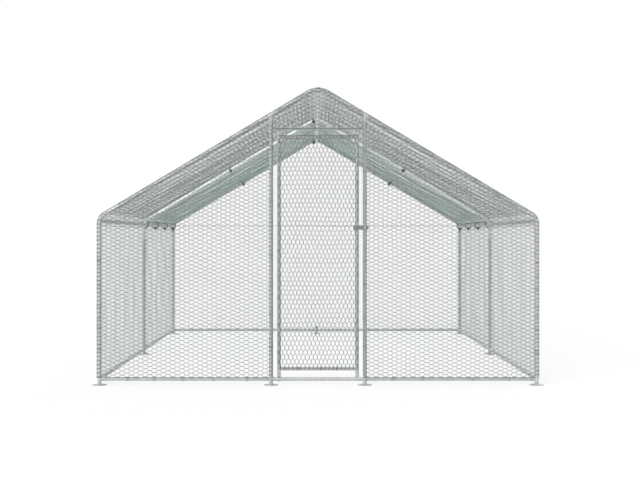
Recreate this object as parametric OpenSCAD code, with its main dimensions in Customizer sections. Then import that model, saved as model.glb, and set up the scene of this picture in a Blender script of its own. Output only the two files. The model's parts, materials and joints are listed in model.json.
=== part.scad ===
// Walk-in chicken run: three tube portal frames under a gabled roof, closed in with hexagonal wire
// netting, with a pivot-hung door, a hasp, and a sheet tied over the rear half of the roof.
// Front is at -Y, the ground is at z = 0 and the origin lies under the middle of the run.

/* [Run] */
// Width between the leg centre lines
run_width = 3000; // [2600:50:3400]
// Depth between the front and back frame centre lines
run_depth = 4000; // [3600:50:4600]
// Height where the leg and rafter centre lines meet
eave_height = 1150; // [1050:10:1300]
// Height where the two rafter centre lines meet
ridge_height = 2045; // [1950:5:2150]

/* [Tubes] */
// Outside diameter of legs, rafters and door jambs
tube_d = 28; // [26:0.5:32]
// Outside diameter of rails, purlins and the door frame
rail_d = 25; // [22:0.5:25]
// Wall of every tube
tube_wall = 1.2; // [0.8:0.1:1.6]
// Centre-line radius of the eave bends
eave_bend_r = 70; // [60:5:90]
// Centre-line radius of the ridge bends
ridge_bend_r = 120; // [100:5:160]
// Loss of radius where a tube is bent
bend_draw = 0.2; // [0.1:0.05:0.3]
// Lap of a straight end over its bend
bend_lap = 2; // [1:0.5:3]
// Straight length of an eave fitting beyond its bend
eave_tail = 110; // [80:5:150]
// Straight length of a ridge fitting beyond its bend
ridge_tail = 80; // [60:5:120]
// Length of a reduced end that plugs into the next tube
spigot_len = 50; // [40:5:80]
// Thick ring between a fitting and its reduced end
shoulder_len = 4; // [3:0.5:6]
// Reach of a welded stub from the post centre line
stub_reach = 60; // [50:5:90]
// Reach of the short stubs beside the door
door_stub_reach = 38; // [34:1:40]
// Distance of a rail end from the post centre line
rail_setback = 16; // [15:0.5:20]
// Angle round an eave bend at which the purlin stub leaves it
purlin_turn = 14; // [12:1:18]
// Radial gap between a reduced end and its tube
slip_gap = 0.2; // [0.1:0.05:0.3]
// End gap where a tube butts on a shoulder
butt_gap = 0.4; // [0.2:0.1:1]

/* [Base] */
// Height of the base rail centre line
rail_height = 42; // [38:1:60]
// Lower end of the base fittings
base_bottom = 26; // [20:1:28]
// Top of the base fittings, where the legs begin
base_top = 130; // [110:5:160]
// Top of the fitting behind, between the two back rails
middle_base_top = 84; // [82:1:100]
// Radius of the foot plates
foot_r = 50; // [45:1:60]
// Thickness of the foot plates
foot_thick = 3; // [2:0.5:5]
// Top of the post on a foot plate
foot_post = 80; // [74:1:81]
// Radius of the peg holes
peg_hole_r = 5; // [4:0.5:6]
// Offset of the peg holes from the foot centre, each way
peg_offset = 28; // [26:1:29]
// Height of the screws that hold the feet
foot_screw_z = 67; // [66:1:70]

/* [Doorway] */
// Distance of each jamb centre line from the middle
jamb_x = 322; // [312:1:330]
// Drop of the header below the rafter centre line at the jambs
header_drop = 93; // [90:1:150]
// Drop of a jamb's top below the rafter centre line
jamb_drop = 34; // [32:1:40]
// Length of the clamp round a rafter
clamp_len = 36; // [30:1:44]
// Wall of the clamps and bands
clamp_wall = 2.3; // [2:0.1:3]

/* [Door] */
// Distance of each door stile centre line from the middle
door_x = 268; // [266:1:270]
// Drop of the door's top rail below the header
door_top_drop = 58; // [56:1:110]
// Height of the door's bottom rail centre line
door_low_z = 113; // [100:1:140]
// Lower end of the latch stile
latch_stile_low = 60; // [58:1:70]
// Length of the latch stile above the top rail centre line
latch_stile_over = 14; // [13.5:0.5:18]
// Gap between a pivot bush and the tube that carries the pin
pivot_gap = 0.4; // [0.3:0.1:0.8]
// Radius of the pivot pins
pivot_r = 5; // [4:0.5:6]
// Radial clearance of the bushes on the pins
pivot_fit = 0.05; // [0.02:0.01:0.1]
// Length of a bush inside the hinge stile
bush_len = 40; // [30:1:50]
// Thickness of a bush or cap flange
flange_thick = 2; // [1.5:0.5:3]
// Radius of the pivot pin heads
pivot_head_r = 9; // [8:0.5:11]
// Height of the pivot pin heads
pivot_head_h = 3; // [2:0.5:3.5]
// Depth of an end cap inside its tube
cap_depth = 15; // [10:1:25]

/* [Hasp] */
// Height of the hasp centre
latch_z = 1080; // [950:5:1200]
// Height of the hasp strap
hasp_h = 29; // [26:1:34]
// Thickness of the hasp strap
hasp_thick = 3; // [2:0.5:4]
// Distance of the strap's middle plane in front of the tube centre lines
hasp_front = 21; // [20.5:0.5:24]
// Distance of the hinge pin from the stile centre line
hasp_pin_x = 22; // [21:0.5:24]
// Reach of the strap past the jamb centre line
hasp_past = 25; // [20:1:30]
// Radius of the hinge knuckles
knuckle_r = 4.5; // [4:0.1:4.7]
// Height of the middle knuckle
knuckle_h = 9.4; // [8:0.2:10]
// Gap between knuckles
knuckle_gap = 0.3; // [0.3:0.1:0.6]
// Gap between the strap and the fixed knuckles
strap_gap = 0.9; // [0.6:0.1:1.5]
// Radius of the hinge pin
hasp_pin_r = 2; // [1.5:0.1:2.4]
// Radial clearance of the hinge pin
hasp_pin_fit = 0.05; // [0.02:0.01:0.1]
// Radius of the hinge pin heads
hasp_pin_head_r = 3.4; // [3:0.1:4]
// Height of the hinge pin heads
hasp_pin_head_h = 1.6; // [1:0.2:2.4]
// Width of the slot in the strap
slot_w = 8; // [7:0.5:10]
// Height of the slot in the strap
slot_h = 22; // [21:0.5:24]
// Wire radius of the staple
staple_r = 2.5; // [2:0.1:3]
// Half the spread of the staple's legs
staple_half = 7; // [6:0.5:7.5]
// Straight length of the staple's legs from the jamb centre line
staple_leg = 26; // [25:0.5:30]
// Height of the band that carries the staple
band_h = 24; // [20:1:30]

/* [Netting] */
// Thickness of the netting
net_thick = 2; // [1:0.2:2.4]
// Gap between the netting and the tubes
net_gap = 0.4; // [0.3:0.1:0.8]
// Width of the strands
strand_w = 6; // [4:0.5:10]
// Width of the edge strips
net_edge = 8; // [6:0.5:14]
// Height of a wall or roof gap from strand to strand
cell_h = 360; // [340:10:420]
// Width of a wall or roof gap, column to column
cell_w = 412; // [390:2:460]
// Height of a door gap from strand to strand
door_cell_h = 190; // [180:5:240]
// Width of a door gap, row to row
door_cell_w = 217; // [210:1:260]
// Lower edge of the wall netting
net_low = 30; // [28:1:40]
// Upper edge of the side netting below the start of the eave bend
side_net_drop = 14; // [12:1:20]
// Distance of the roof netting's edges from the eave and ridge bends
roof_net_start = 2; // [1:0.5:6]
// Half width of the netting window round a rafter clamp
clamp_window = 24; // [22:1:30]
// Half height of the netting window at the hasp
hasp_window = 19; // [18:1:24]
// Side margin of the netting window at the hasp
window_side = 6; // [4:0.5:10]
// Gap between two pieces of netting on one plane
net_split = 4; // [2:0.5:6]

/* [Cover] */
// Thickness of the roof sheet
cover_thick = 2; // [1:0.2:2.4]
// Gap between the sheet and the netting
cover_gap = 0.4; // [0.3:0.1:0.8]
// Angle round the eave bend at which the sheet ends
cover_edge_turn = 9; // [4:1:12]
// Radius of the eyelet holes
eyelet_hole_r = 7; // [6:0.5:9]
// Outside radius of the eyelet rings
eyelet_ring_r = 11; // [10:0.5:13]
// Thickness of the eyelet rings
eyelet_thick = 0.8; // [0.5:0.1:1.2]
// Gap between an eyelet ring and the sheet
eyelet_gap = 0.2; // [0.1:0.1:0.5]
// Centre-line radius of the elastic loops
loop_r = 28; // [28:0.5:32]
// Radius of the elastic cord
cord_r = 2.5; // [2:0.1:3]
// Radius of the balls
ball_r = 13; // [11:0.5:13.5]
// Gap between a ball and the end of its cord
loop_gap = 1; // [0.8:0.1:2]
// Distance of the first eave loop from the middle frame
loop_first = 50; // [48:1:80]
// Angle round the ridge bend at which the top loop sits
ridge_loop_turn = 15; // [13:1:18]
// Angle by which the balls on the middle frame lie forward of the rafter's underside
middle_ball_turn = 80; // [60:5:90]
// Angle by which the balls on the back frame lie forward of the rafter's underside
back_ball_turn = 45; // [30:5:90]

/* [Screws] */
// Radius of a screw shank
screw_r = 2; // [1.5:0.1:2.5]
// Radial gap of a screw in its hole
screw_gap = 0.15; // [0.1:0.05:0.3]
// Length of a screw shank
screw_len = 6; // [5:0.5:8]
// Radius of a screw head
head_r = 4.2; // [3.6:0.1:5]
// Height of a screw head
head_h = 2.4; // [1.8:0.1:3]
// Gap between a screw head and the tube
head_gap = 0.1; // [0.05:0.05:0.2]

/* [Hidden] */
$fn = 48;

// Tubes
tube_r = tube_d / 2;
bore_r = tube_r - tube_wall;
spigot_r = bore_r - slip_gap;
spigot_in = spigot_r - tube_wall;
rail_r = rail_d / 2;
rail_bore = rail_r - tube_wall;
stub_r = rail_bore - slip_gap;
stub_in = stub_r - tube_wall;
over = shoulder_len;

// Portal frame in its own plane
leg_x = run_width / 2;
front_y = -run_depth / 2;
back_y = run_depth / 2;
frame_ys = [front_y, 0, back_y];
slope = atan((ridge_height - eave_height) / leg_x);
slope_len = leg_x / cos(slope);
eave_turn = 90 - slope;
eave_tan = eave_bend_r * tan(eave_turn / 2);
ridge_tan = ridge_bend_r * tan(slope);
bend_x = leg_x - eave_bend_r;
bend_z = eave_height - eave_tan;
ridge_mid_z = ridge_height - ridge_bend_r / cos(slope);
leg_top = bend_z - eave_tail;
rafter_low = eave_tan + eave_tail;
rafter_high = slope_len - ridge_tan - ridge_tail;
purlin_x = bend_x + eave_bend_r * cos(purlin_turn);
purlin_z = bend_z + eave_bend_r * sin(purlin_turn);
ridge_purlin_z = ridge_mid_z + ridge_bend_r;

// Doorway
clamp_z = eave_height + (leg_x - jamb_x) * tan(slope);
clamp_far = (leg_x - jamb_x) / cos(slope);
jamb_top = clamp_z - jamb_drop;
header_z = clamp_z - header_drop;
door_top_z = header_z - door_top_drop;
clamp_r = tube_r + slip_gap + clamp_wall;
pivot_hole_r = pivot_r + screw_gap;
hinge_low = rail_height + rail_r + pivot_gap + flange_thick;
hinge_high = header_z - rail_r - pivot_gap - flange_thick;
latch_high = door_top_z + latch_stile_over;

// Netting and sheet planes, measured from the tube centre lines
net_in = tube_r + net_gap;
net_out = net_in + net_thick;
door_net_in = rail_r + net_gap;
cover_in = net_out + cover_gap;
cover_mid = cover_in + cover_thick / 2;
cover_out = cover_in + cover_thick;
net_x = leg_x + tube_r;
net_y = run_depth / 2 + tube_r;
jamb_in = jamb_x - tube_r;
gable_x = jamb_in - net_split;
gable_low = header_z - rail_r;
arc_steps = 6;
slot_share = 18 / 31.5;

// Elastic loops
middle_loop_share = 0.5;
back_loop_share = 0.485;
eave_loop_ys = [
  loop_first,
  loop_first + (back_y - 2 * loop_first) / 3,
  loop_first + (back_y - 2 * loop_first) * 2 / 3,
  back_y - loop_first
];
ball_turn = 2 * asin((ball_r + loop_gap) / (2 * loop_r));
eyelet_side = sqrt(loop_r * loop_r - cover_mid * cover_mid);
eave_cover_r = eave_bend_r + cover_mid;
eyelet_cos = (eave_bend_r * eave_bend_r + eave_cover_r * eave_cover_r - loop_r * loop_r)
  / (2 * eave_bend_r * eave_cover_r);
eyelet_turn = purlin_turn + acos(eyelet_cos);

// Screw places: each is a point on a tube's surface and the turn that points its head outwards
rail_screw = (rail_setback + stub_reach) / 2;
door_screw = (rail_setback + door_stub_reach) / 2;
half_spigot = spigot_len / 2;
function leg_foot_screw(s, y) = [[s * (leg_x - tube_r), y, foot_screw_z], [0, -90 * s, 0]];
function leg_low_screw(s, y) = [[s * (leg_x - tube_r), y, base_top + half_spigot], [0, -90 * s, 0]];
function leg_high_screw(s, y) = [[s * (leg_x - tube_r), y, leg_top - half_spigot], [0, -90 * s, 0]];
function under_rafter(s, y, d) = [
  [s * (leg_x - d * cos(slope) - tube_r * sin(slope)), y,
   eave_height + d * sin(slope) - tube_r * cos(slope)],
  [0, 180 + s * slope, 0]
];
function rafter_low_screw(s, y) = under_rafter(s, y, rafter_low + half_spigot);
function rafter_high_screw(s, y) = under_rafter(s, y, rafter_high - half_spigot);
function rail_top_screw(x, y) = [[x, y, rail_height + rail_r], [0, 0, 0]];
function purlin_screw(s, y) = [[s * purlin_x, y, purlin_z - rail_r], [180, 0, 0]];
function ridge_screw(y) = [[0, y, ridge_purlin_z - rail_r], [180, 0, 0]];
function behind(x, z, r) = [[x, front_y + r, z], [-90, 0, 0]];
function jamb_foot_screw(s) = behind(s * jamb_x, foot_screw_z, tube_r);
function jamb_low_screw(s) = behind(s * jamb_x, base_top + half_spigot, tube_r);
function jamb_high_screw(s) = behind(s * jamb_x, jamb_top - half_spigot, tube_r);
function header_screw(s) = behind(s * (jamb_x - door_screw), header_z, rail_r);
function middle_foot_screw() = [[0, back_y - tube_r, foot_screw_z], [90, 0, 0]];
function side_rail_screws(s) = [
  for (b = [0, 1]) each [
    rail_top_screw(s * leg_x, frame_ys[b] + rail_screw),
    rail_top_screw(s * leg_x, frame_ys[b + 1] - rail_screw)
  ]
];
function eave_purlin_screws(s) = [
  for (b = [0, 1]) each [
    purlin_screw(s, frame_ys[b] + rail_screw), purlin_screw(s, frame_ys[b + 1] - rail_screw)
  ]
];
function ridge_purlin_screws() = [
  for (b = [0, 1]) each [ridge_screw(frame_ys[b] + rail_screw), ridge_screw(frame_ys[b + 1] - rail_screw)]
];
function front_rail_screws() = [
  for (s = [-1, 1]) each [
    rail_top_screw(s * (leg_x - rail_screw), front_y), rail_top_screw(s * (jamb_x + rail_screw), front_y)
  ]
];
function threshold_screws() = [for (s = [-1, 1]) rail_top_screw(s * (jamb_x - door_screw), front_y)];
function back_rail_screws() = [
  for (s = [-1, 1]) each [
    rail_top_screw(s * (leg_x - rail_screw), back_y), rail_top_screw(s * rail_screw, back_y)
  ]
];
function portal_screws(y) = [
  for (s = [-1, 1]) each [
    leg_foot_screw(s, y), leg_low_screw(s, y), leg_high_screw(s, y),
    rafter_low_screw(s, y), rafter_high_screw(s, y)
  ]
];
function jamb_screws() = [
  for (s = [-1, 1]) each [jamb_foot_screw(s), jamb_low_screw(s), jamb_high_screw(s), header_screw(s)]
];
function door_rail_screws(z) = [
  for (s = [-1, 1]) [[s * (door_x - rail_screw), front_y + rail_r, z], [-90, 0, 0]]
];

module place(at) {
  translate(at[0]) rotate(at[1]) children();
}

module screw() {
  union() {
    translate([0, 0, head_gap]) cylinder(r = head_r, h = head_h);
    translate([0, 0, -screw_len]) cylinder(r = screw_r, h = screw_len + head_gap);
  }
}

module screws(places) {
  for (at = places) place(at) screw();
}

module drilled(places) {
  difference() {
    children();
    for (at = places) place(at) cylinder(r = screw_r + screw_gap, h = 2 * screw_len, center = true);
  }
}

// Plain tube standing on its own end
module pipe(r, len) {
  rotate_extrude() translate([r - tube_wall, 0]) square([tube_wall, len]);
}

module pipe_x(r, len) {
  rotate([0, 90, 0]) pipe(r, len);
}

module pipe_y(r, len) {
  rotate([-90, 0, 0]) pipe(r, len);
}

// Straight end of a bent fitting, with its shoulder and reduced end
module swaged_end(tail) {
  tip = tail + spigot_len;
  step = tail - shoulder_len;
  rotate_extrude() polygon([
    [bore_r, -bend_lap], [tube_r, -bend_lap], [tube_r, tail], [spigot_r, tail],
    [spigot_r, tip], [spigot_in, tip], [spigot_in, step], [bore_r, step]
  ]);
}

// Bent tube about the Y axis with welded stubs along Y
module bend(r, turn, stub_turn, ways) {
  at = [r * cos(stub_turn), 0, r * sin(stub_turn)];
  difference() {
    union() {
      rotate([90, 0, 0]) rotate_extrude(angle = turn) translate([r, 0]) circle(r = tube_r - bend_draw);
      for (w = ways) translate(at) rotate([-90 * w, 0, 0]) cylinder(r = stub_r, h = stub_reach);
    }
    rotate([90, 0, 0]) rotate_extrude(angle = turn) translate([r, 0]) circle(r = bore_r - bend_draw);
    for (w = ways) translate(at) rotate([-90 * w, 0, 0]) translate([0, 0, rail_setback])
      cylinder(r = stub_in, h = stub_reach);
  }
}

module eave_bend(ways) {
  translate([bend_x, 0, bend_z]) union() {
    bend(eave_bend_r, eave_turn, purlin_turn, ways);
    translate([eave_bend_r, 0, 0]) mirror([0, 0, 1]) swaged_end(eave_tail);
    rotate([0, -eave_turn, 0]) translate([eave_bend_r, 0, 0]) swaged_end(eave_tail);
  }
}

function bend_screws(y, ways) = [
  for (s = [-1, 1]) each [
    leg_high_screw(s, y), rafter_low_screw(s, y), for (w = ways) purlin_screw(s, y + w * rail_screw)
  ]
];

module eave_bends(y, ways) {
  color("silver") drilled(bend_screws(y, ways)) {
    translate([0, y, 0]) eave_bend(ways);
    translate([0, y, 0]) mirror([1, 0, 0]) eave_bend(ways);
  }
}

module ridge_bend(y, ways) {
  places = [
    for (s = [-1, 1]) rafter_high_screw(s, y),
    for (w = ways) ridge_screw(y + w * rail_screw)
  ];
  color("silver") drilled(places) translate([0, y, ridge_mid_z]) union() {
    rotate([0, slope - 90, 0]) bend(ridge_bend_r, 2 * slope, slope, ways);
    for (m = [0, 1]) mirror([m, 0, 0]) rotate([0, slope, 0]) translate([0, 0, ridge_bend_r])
      rotate([0, 90, 0]) swaged_end(ridge_tail);
  }
}

module leg(s, y) {
  color("lightgray") drilled([leg_low_screw(s, y), leg_high_screw(s, y)])
    translate([s * leg_x, y, base_top + butt_gap]) pipe(tube_r, leg_top - base_top - 2 * butt_gap);
}

module rafter(s, y) {
  len = rafter_high - rafter_low - 2 * butt_gap;
  color("lightgray") drilled([rafter_low_screw(s, y), rafter_high_screw(s, y)])
    translate([s * leg_x, y, eave_height]) rotate([0, s * (slope - 90), 0])
      translate([0, 0, rafter_low + butt_gap]) pipe(tube_r, len);
}

// Base fitting with stubs given as plan turn and reach
module base_fitting(stubs) {
  tip = base_top + spigot_len;
  step = base_top - shoulder_len;
  difference() {
    union() {
      rotate_extrude() polygon([
        [0, base_bottom], [tube_r, base_bottom], [tube_r, base_top],
        [spigot_r, base_top], [spigot_r, tip], [0, tip]
      ]);
      base_stubs(stubs);
    }
    rotate_extrude() polygon([
      [0, base_bottom - over], [bore_r, base_bottom - over], [bore_r, step],
      [spigot_in, step], [spigot_in, tip + over], [0, tip + over]
    ]);
    base_stub_bores(stubs);
  }
}

module base_stubs(stubs) {
  for (t = stubs) rotate([0, 0, t[0]]) translate([0, 0, rail_height]) rotate([0, 90, 0])
    cylinder(r = stub_r, h = t[1]);
}

module base_stub_bores(stubs) {
  for (t = stubs) rotate([0, 0, t[0]]) translate([rail_setback, 0, rail_height]) rotate([0, 90, 0])
    cylinder(r = stub_in, h = t[1]);
}

function corner_screws(y, way) = [
  for (s = [-1, 1]) each [
    leg_foot_screw(s, y), leg_low_screw(s, y), rail_top_screw(s * leg_x, y + way * rail_screw),
    rail_top_screw(s * (leg_x - rail_screw), y)
  ]
];

module corner_bases(y, way) {
  color("silver") drilled(corner_screws(y, way)) {
    translate([-leg_x, y, 0]) base_fitting([[0, stub_reach], [90 * way, stub_reach]]);
    translate([leg_x, y, 0]) base_fitting([[180, stub_reach], [90 * way, stub_reach]]);
  }
}

module foot(out) {
  difference() {
    union() {
      cylinder(r = foot_r, h = foot_thick);
      cylinder(r = spigot_r, h = foot_post);
    }
    translate([0, 0, foot_thick]) cylinder(r = spigot_in, h = foot_post);
    for (w = [-1, 1]) rotate([0, 0, out]) translate([peg_offset, w * peg_offset, -foot_thick])
      cylinder(r = peg_hole_r, h = foot_thick * 3);
  }
}

// One hexagonal gap with its twisted sides level
module gap(w, h) {
  grow = (h - strand_w) / h;
  top = w * slot_share / 2 * grow;
  side = (w - w * slot_share / 2) * grow;
  up = h / 2 * grow;
  polygon([[side, 0], [top, up], [-top, up], [-side, 0], [-top, -up], [top, -up]]);
}

// Gaps over a rectangle, in columns about a middle point
module gaps(mid, half_w, half_h, w, h) {
  cols = ceil(half_w / w);
  rows = ceil(half_h / h);
  for (i = [-cols : cols], j = [-rows : rows])
    translate([mid[0] + i * w, mid[1] + (j + abs(i % 2) / 2) * h]) gap(w, h);
}

module window_area(a, grow) {
  translate([a[0] - grow, a[1] - grow]) square([a[2] - a[0] + 2 * grow, a[3] - a[1] + 2 * grow]);
}

// Netting sheet from its outline, the outline inside its edge strips and its windows
module netting(outer, inner, windows) {
  linear_extrude(net_thick) difference() {
    polygon(outer);
    difference() {
      intersection() {
        polygon(inner);
        children();
      }
      for (a = windows) window_area(a, net_edge);
    }
    for (a = windows) window_area(a, 0);
  }
}

function top_edge(x, inset) = eave_height + (leg_x - x) * tan(slope) + (tube_r - inset) / cos(slope);
function eave_arc(r, from) = [
  for (k = [0 : arc_steps])
    let (a = from + (eave_turn - from) * k / arc_steps) [bend_x + r * cos(a), bend_z + r * sin(a)]
];
function ridge_arc(r) = [
  for (k = [0 : arc_steps])
    let (a = 90 - slope + 2 * slope * k / arc_steps) [r * cos(a), ridge_mid_z + r * sin(a)]
];
function flipped(pts) = [for (k = [len(pts) - 1 : -1 : 0]) [-pts[k][0], pts[k][1]]];
function backwards(pts) = [for (k = [len(pts) - 1 : -1 : 0]) pts[k]];

function half_wall(inset) = concat(
  [[jamb_in + inset, net_low + inset], [net_x - inset, net_low + inset]],
  eave_arc(eave_bend_r + tube_r - inset, 0),
  [[jamb_in + inset, top_edge(jamb_in + inset, inset)]]
);
function gable_wall(inset) = concat(
  [[-gable_x + inset, gable_low + inset], [gable_x - inset, gable_low + inset],
   [gable_x - inset, top_edge(gable_x - inset, inset)]],
  ridge_arc(ridge_bend_r + tube_r - inset),
  [[-gable_x + inset, top_edge(gable_x - inset, inset)]]
);
function whole_wall(inset) = let (e = eave_arc(eave_bend_r + tube_r - inset, 0)) concat(
  [[-net_x + inset, net_low + inset], [net_x - inset, net_low + inset]],
  e, ridge_arc(ridge_bend_r + tube_r - inset), flipped(e)
);
function box_points(x0, y0, x1, y1) = [[x0, y0], [x1, y0], [x1, y1], [x0, y1]];

clamp_area = [jamb_x - clamp_window, clamp_z - 2 * clamp_window, jamb_x + clamp_window, ridge_height];
staple_area = [
  jamb_x - 2 * clamp_r, latch_z - hasp_window, jamb_x + clamp_r + window_side, latch_z + hasp_window
];
wall_mid_x = (jamb_in + net_x) / 2;

module half_net(windows) {
  translate([0, front_y - net_in, 0]) rotate([90, 0, 0])
    netting(half_wall(0), half_wall(net_edge), windows)
      gaps([wall_mid_x, eave_height], net_x - jamb_in, ridge_height - eave_height + cell_h, cell_w, cell_h);
}

module side_net() {
  top = bend_z - side_net_drop;
  translate([leg_x + net_in, 0, 0]) rotate([90, 0, 90])
    netting(
      box_points(-net_y, net_low, net_y, top),
      box_points(-net_y + net_edge, net_low + net_edge, net_y - net_edge, top - net_edge), []
    ) gaps([0, (net_low + top) / 2], net_y, (top - net_low) / 2, cell_w, cell_h);
}

module roof_net() {
  low = eave_tan + roof_net_start;
  high = slope_len - ridge_tan - roof_net_start;
  e = net_edge;
  half = clamp_len / 2 + window_side;
  window = [-net_y - e, clamp_far - half, front_y + clamp_r + window_side, clamp_far + half];
  translate([leg_x, 0, eave_height]) rotate([0, slope, 0]) translate([0, 0, net_in]) rotate([0, 0, 90])
    netting(
      box_points(-net_y, low, net_y, high), box_points(-net_y + e, low + e, net_y - e, high - e), [window]
    ) gaps([0, slope_len / 2], net_y, slope_len / 2, cell_w, cell_h);
}

// Places on a rafter or on the ridge bend where loops go round, seen along the tube
module on_rafter(s, y) {
  d = slope_len * (y < back_y ? middle_loop_share : back_loop_share);
  translate([s * (leg_x - d * cos(slope)), y, eave_height + d * sin(slope)])
    rotate([0, s * slope, 0]) rotate([90, 0, 90]) children();
}

module on_ridge(y) {
  a = ridge_loop_turn;
  translate([-ridge_bend_r * sin(a), y, ridge_mid_z + ridge_bend_r * cos(a)])
    rotate([0, -a, 0]) rotate([90, 0, 90]) children();
}

module on_eave(s, y) {
  translate([s * purlin_x, y, purlin_z]) rotate([90, 0, 0]) children();
}

module at_loops() {
  for (s = [-1, 1], y = eave_loop_ys) on_eave(s, y) children();
  for (w = [[0, -middle_ball_turn], [back_y, -back_ball_turn]]) {
    for (s = [-1, 1]) on_rafter(s, w[0]) rotate([0, 0, w[1]]) children();
    on_ridge(w[0]) rotate([0, 0, w[1]]) children();
  }
}

// Eyelets, with the sheet's middle at height zero
module at_eyelets() {
  for (m = [0, 1], y = eave_loop_ys) mirror([m, 0, 0]) translate([bend_x, y, bend_z])
    rotate([0, 90 - eyelet_turn, 0]) translate([0, 0, eave_cover_r]) children();
  for (w = [[0, 1], [back_y, -1]]) {
    for (s = [-1, 1]) on_rafter(s, w[0]) translate([w[1] * eyelet_side, cover_mid, 0])
      rotate([-90, 0, 0]) children();
    on_ridge(w[0]) translate([w[1] * eyelet_side, cover_mid, 0]) rotate([-90, 0, 0]) children();
  }
}

function cover_line(off) = let (e = eave_arc(eave_bend_r + off, cover_edge_turn)) concat(
  e, ridge_arc(ridge_bend_r + off), flipped(e)
);

// Door stile with inward stubs for the two door rails
module stile(low, high) {
  difference() {
    union() {
      translate([0, 0, low]) cylinder(r = rail_r, h = high - low);
      for (z = [door_low_z, door_top_z]) translate([0, 0, z]) rotate([0, 90, 0])
        cylinder(r = stub_r, h = stub_reach);
    }
    translate([0, 0, low - over]) cylinder(r = rail_bore, h = high - low + 2 * over);
    for (z = [door_low_z, door_top_z]) translate([rail_setback, 0, z]) rotate([0, 90, 0])
      cylinder(r = stub_in, h = stub_reach);
  }
}

module bush() {
  difference() {
    union() {
      cylinder(r = stub_r, h = bush_len);
      translate([0, 0, -flange_thick]) cylinder(r = rail_r, h = flange_thick);
    }
    translate([0, 0, -2 * flange_thick])
      cylinder(r = pivot_r + pivot_fit, h = bush_len + 4 * flange_thick);
  }
}

module end_cap() {
  union() {
    cylinder(r = stub_r, h = cap_depth);
    translate([0, 0, -flange_thick]) cylinder(r = rail_r, h = flange_thick);
  }
}

module jamb(s) {
  len = jamb_top - base_top - butt_gap;
  color("lightgray") drilled([jamb_low_screw(s), jamb_high_screw(s), header_screw(s)]) difference() {
    union() {
      translate([s * jamb_x, front_y, base_top + butt_gap]) cylinder(r = tube_r, h = len);
      translate([s * jamb_x, front_y, header_z]) rotate([0, -90 * s, 0])
        cylinder(r = stub_r, h = door_stub_reach);
    }
    translate([s * jamb_x, front_y, base_top - over]) cylinder(r = bore_r, h = len + 2 * over);
    translate([s * (jamb_x - rail_setback), front_y, header_z]) rotate([0, -90 * s, 0])
      cylinder(r = stub_in, h = door_stub_reach);
  }
}

module jamb_clamp() {
  foot_z = jamb_top - spigot_len;
  difference() {
    union() {
      translate([jamb_x, front_y, clamp_z]) rotate([0, 90 + slope, 0])
        cylinder(r = clamp_r, h = clamp_len, center = true);
      translate([jamb_x, front_y, jamb_top + butt_gap])
        cylinder(r = tube_r - slip_gap, h = jamb_drop - butt_gap);
      translate([jamb_x, front_y, foot_z]) cylinder(r = spigot_r, h = spigot_len + jamb_drop);
    }
    translate([jamb_x, front_y, clamp_z]) rotate([0, 90 + slope, 0])
      cylinder(r = tube_r + slip_gap, h = 3 * clamp_len, center = true);
    translate([jamb_x, front_y, foot_z - over]) cylinder(r = spigot_in, h = spigot_len + over);
  }
}

module front_left_leg() leg(-1, front_y);
module front_right_leg() leg(1, front_y);
module middle_legs() {
  leg(-1, 0);
  leg(1, 0);
}
module back_left_leg() leg(-1, back_y);
module back_right_leg() leg(1, back_y);
module front_left_rafter() rafter(-1, front_y);
module front_right_rafter() rafter(1, front_y);
module middle_left_rafter() rafter(-1, 0);
module middle_right_rafter() rafter(1, 0);
module back_left_rafter() rafter(-1, back_y);
module back_right_rafter() rafter(1, back_y);
module front_eave_bends() eave_bends(front_y, [1]);
module middle_eave_bends() eave_bends(0, [-1, 1]);
module back_eave_bends() eave_bends(back_y, [-1]);
module front_ridge_bend() ridge_bend(front_y, [1]);
module middle_ridge_bend() ridge_bend(0, [-1, 1]);
module back_ridge_bend() ridge_bend(back_y, [-1]);
module front_corner_bases() corner_bases(front_y, 1);
module back_corner_bases() corner_bases(back_y, -1);

module door_jamb_bases() {
  places = [
    for (s = [-1, 1]) each [
      jamb_foot_screw(s), jamb_low_screw(s), rail_top_screw(s * (jamb_x + rail_screw), front_y)
    ]
  ];
  color("silver") drilled(concat(places, threshold_screws())) {
    translate([-jamb_x, front_y, 0]) base_fitting([[180, stub_reach], [0, door_stub_reach]]);
    translate([jamb_x, front_y, 0]) base_fitting([[0, stub_reach], [180, door_stub_reach]]);
  }
}

module middle_bases() {
  places = [
    for (s = [-1, 1]) each [
      leg_foot_screw(s, 0), leg_low_screw(s, 0),
      rail_top_screw(s * leg_x, rail_screw), rail_top_screw(s * leg_x, -rail_screw)
    ]
  ];
  color("silver") drilled(places) {
    for (s = [-1, 1]) translate([s * leg_x, 0, 0]) base_fitting([[90, stub_reach], [-90, stub_reach]]);
  }
}

module back_middle_base() {
  stubs = [[0, stub_reach], [180, stub_reach]];
  places = [middle_foot_screw(), for (s = [-1, 1]) rail_top_screw(s * rail_screw, back_y)];
  color("silver") drilled(places) translate([0, back_y, 0]) difference() {
    union() {
      translate([0, 0, base_bottom]) cylinder(r = tube_r, h = middle_base_top - base_bottom);
      base_stubs(stubs);
    }
    translate([0, 0, base_bottom - over])
      cylinder(r = bore_r, h = middle_base_top - base_bottom + over - flange_thick);
    base_stub_bores(stubs);
  }
}

module front_feet() {
  color("silver") drilled([
    for (s = [-1, 1]) each [leg_foot_screw(s, front_y), jamb_foot_screw(s)]
  ]) {
    for (x = [-leg_x, -jamb_x, jamb_x, leg_x]) translate([x, front_y, 0]) foot(-90);
  }
}

module middle_feet() {
  color("silver") drilled([for (s = [-1, 1]) leg_foot_screw(s, 0)]) {
    translate([-leg_x, 0, 0]) foot(180);
    translate([leg_x, 0, 0]) foot(0);
  }
}

module back_feet() {
  color("silver") drilled([
    for (s = [-1, 1]) leg_foot_screw(s, back_y), middle_foot_screw()
  ]) {
    for (x = [-leg_x, 0, leg_x]) translate([x, back_y, 0]) foot(90);
  }
}

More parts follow.
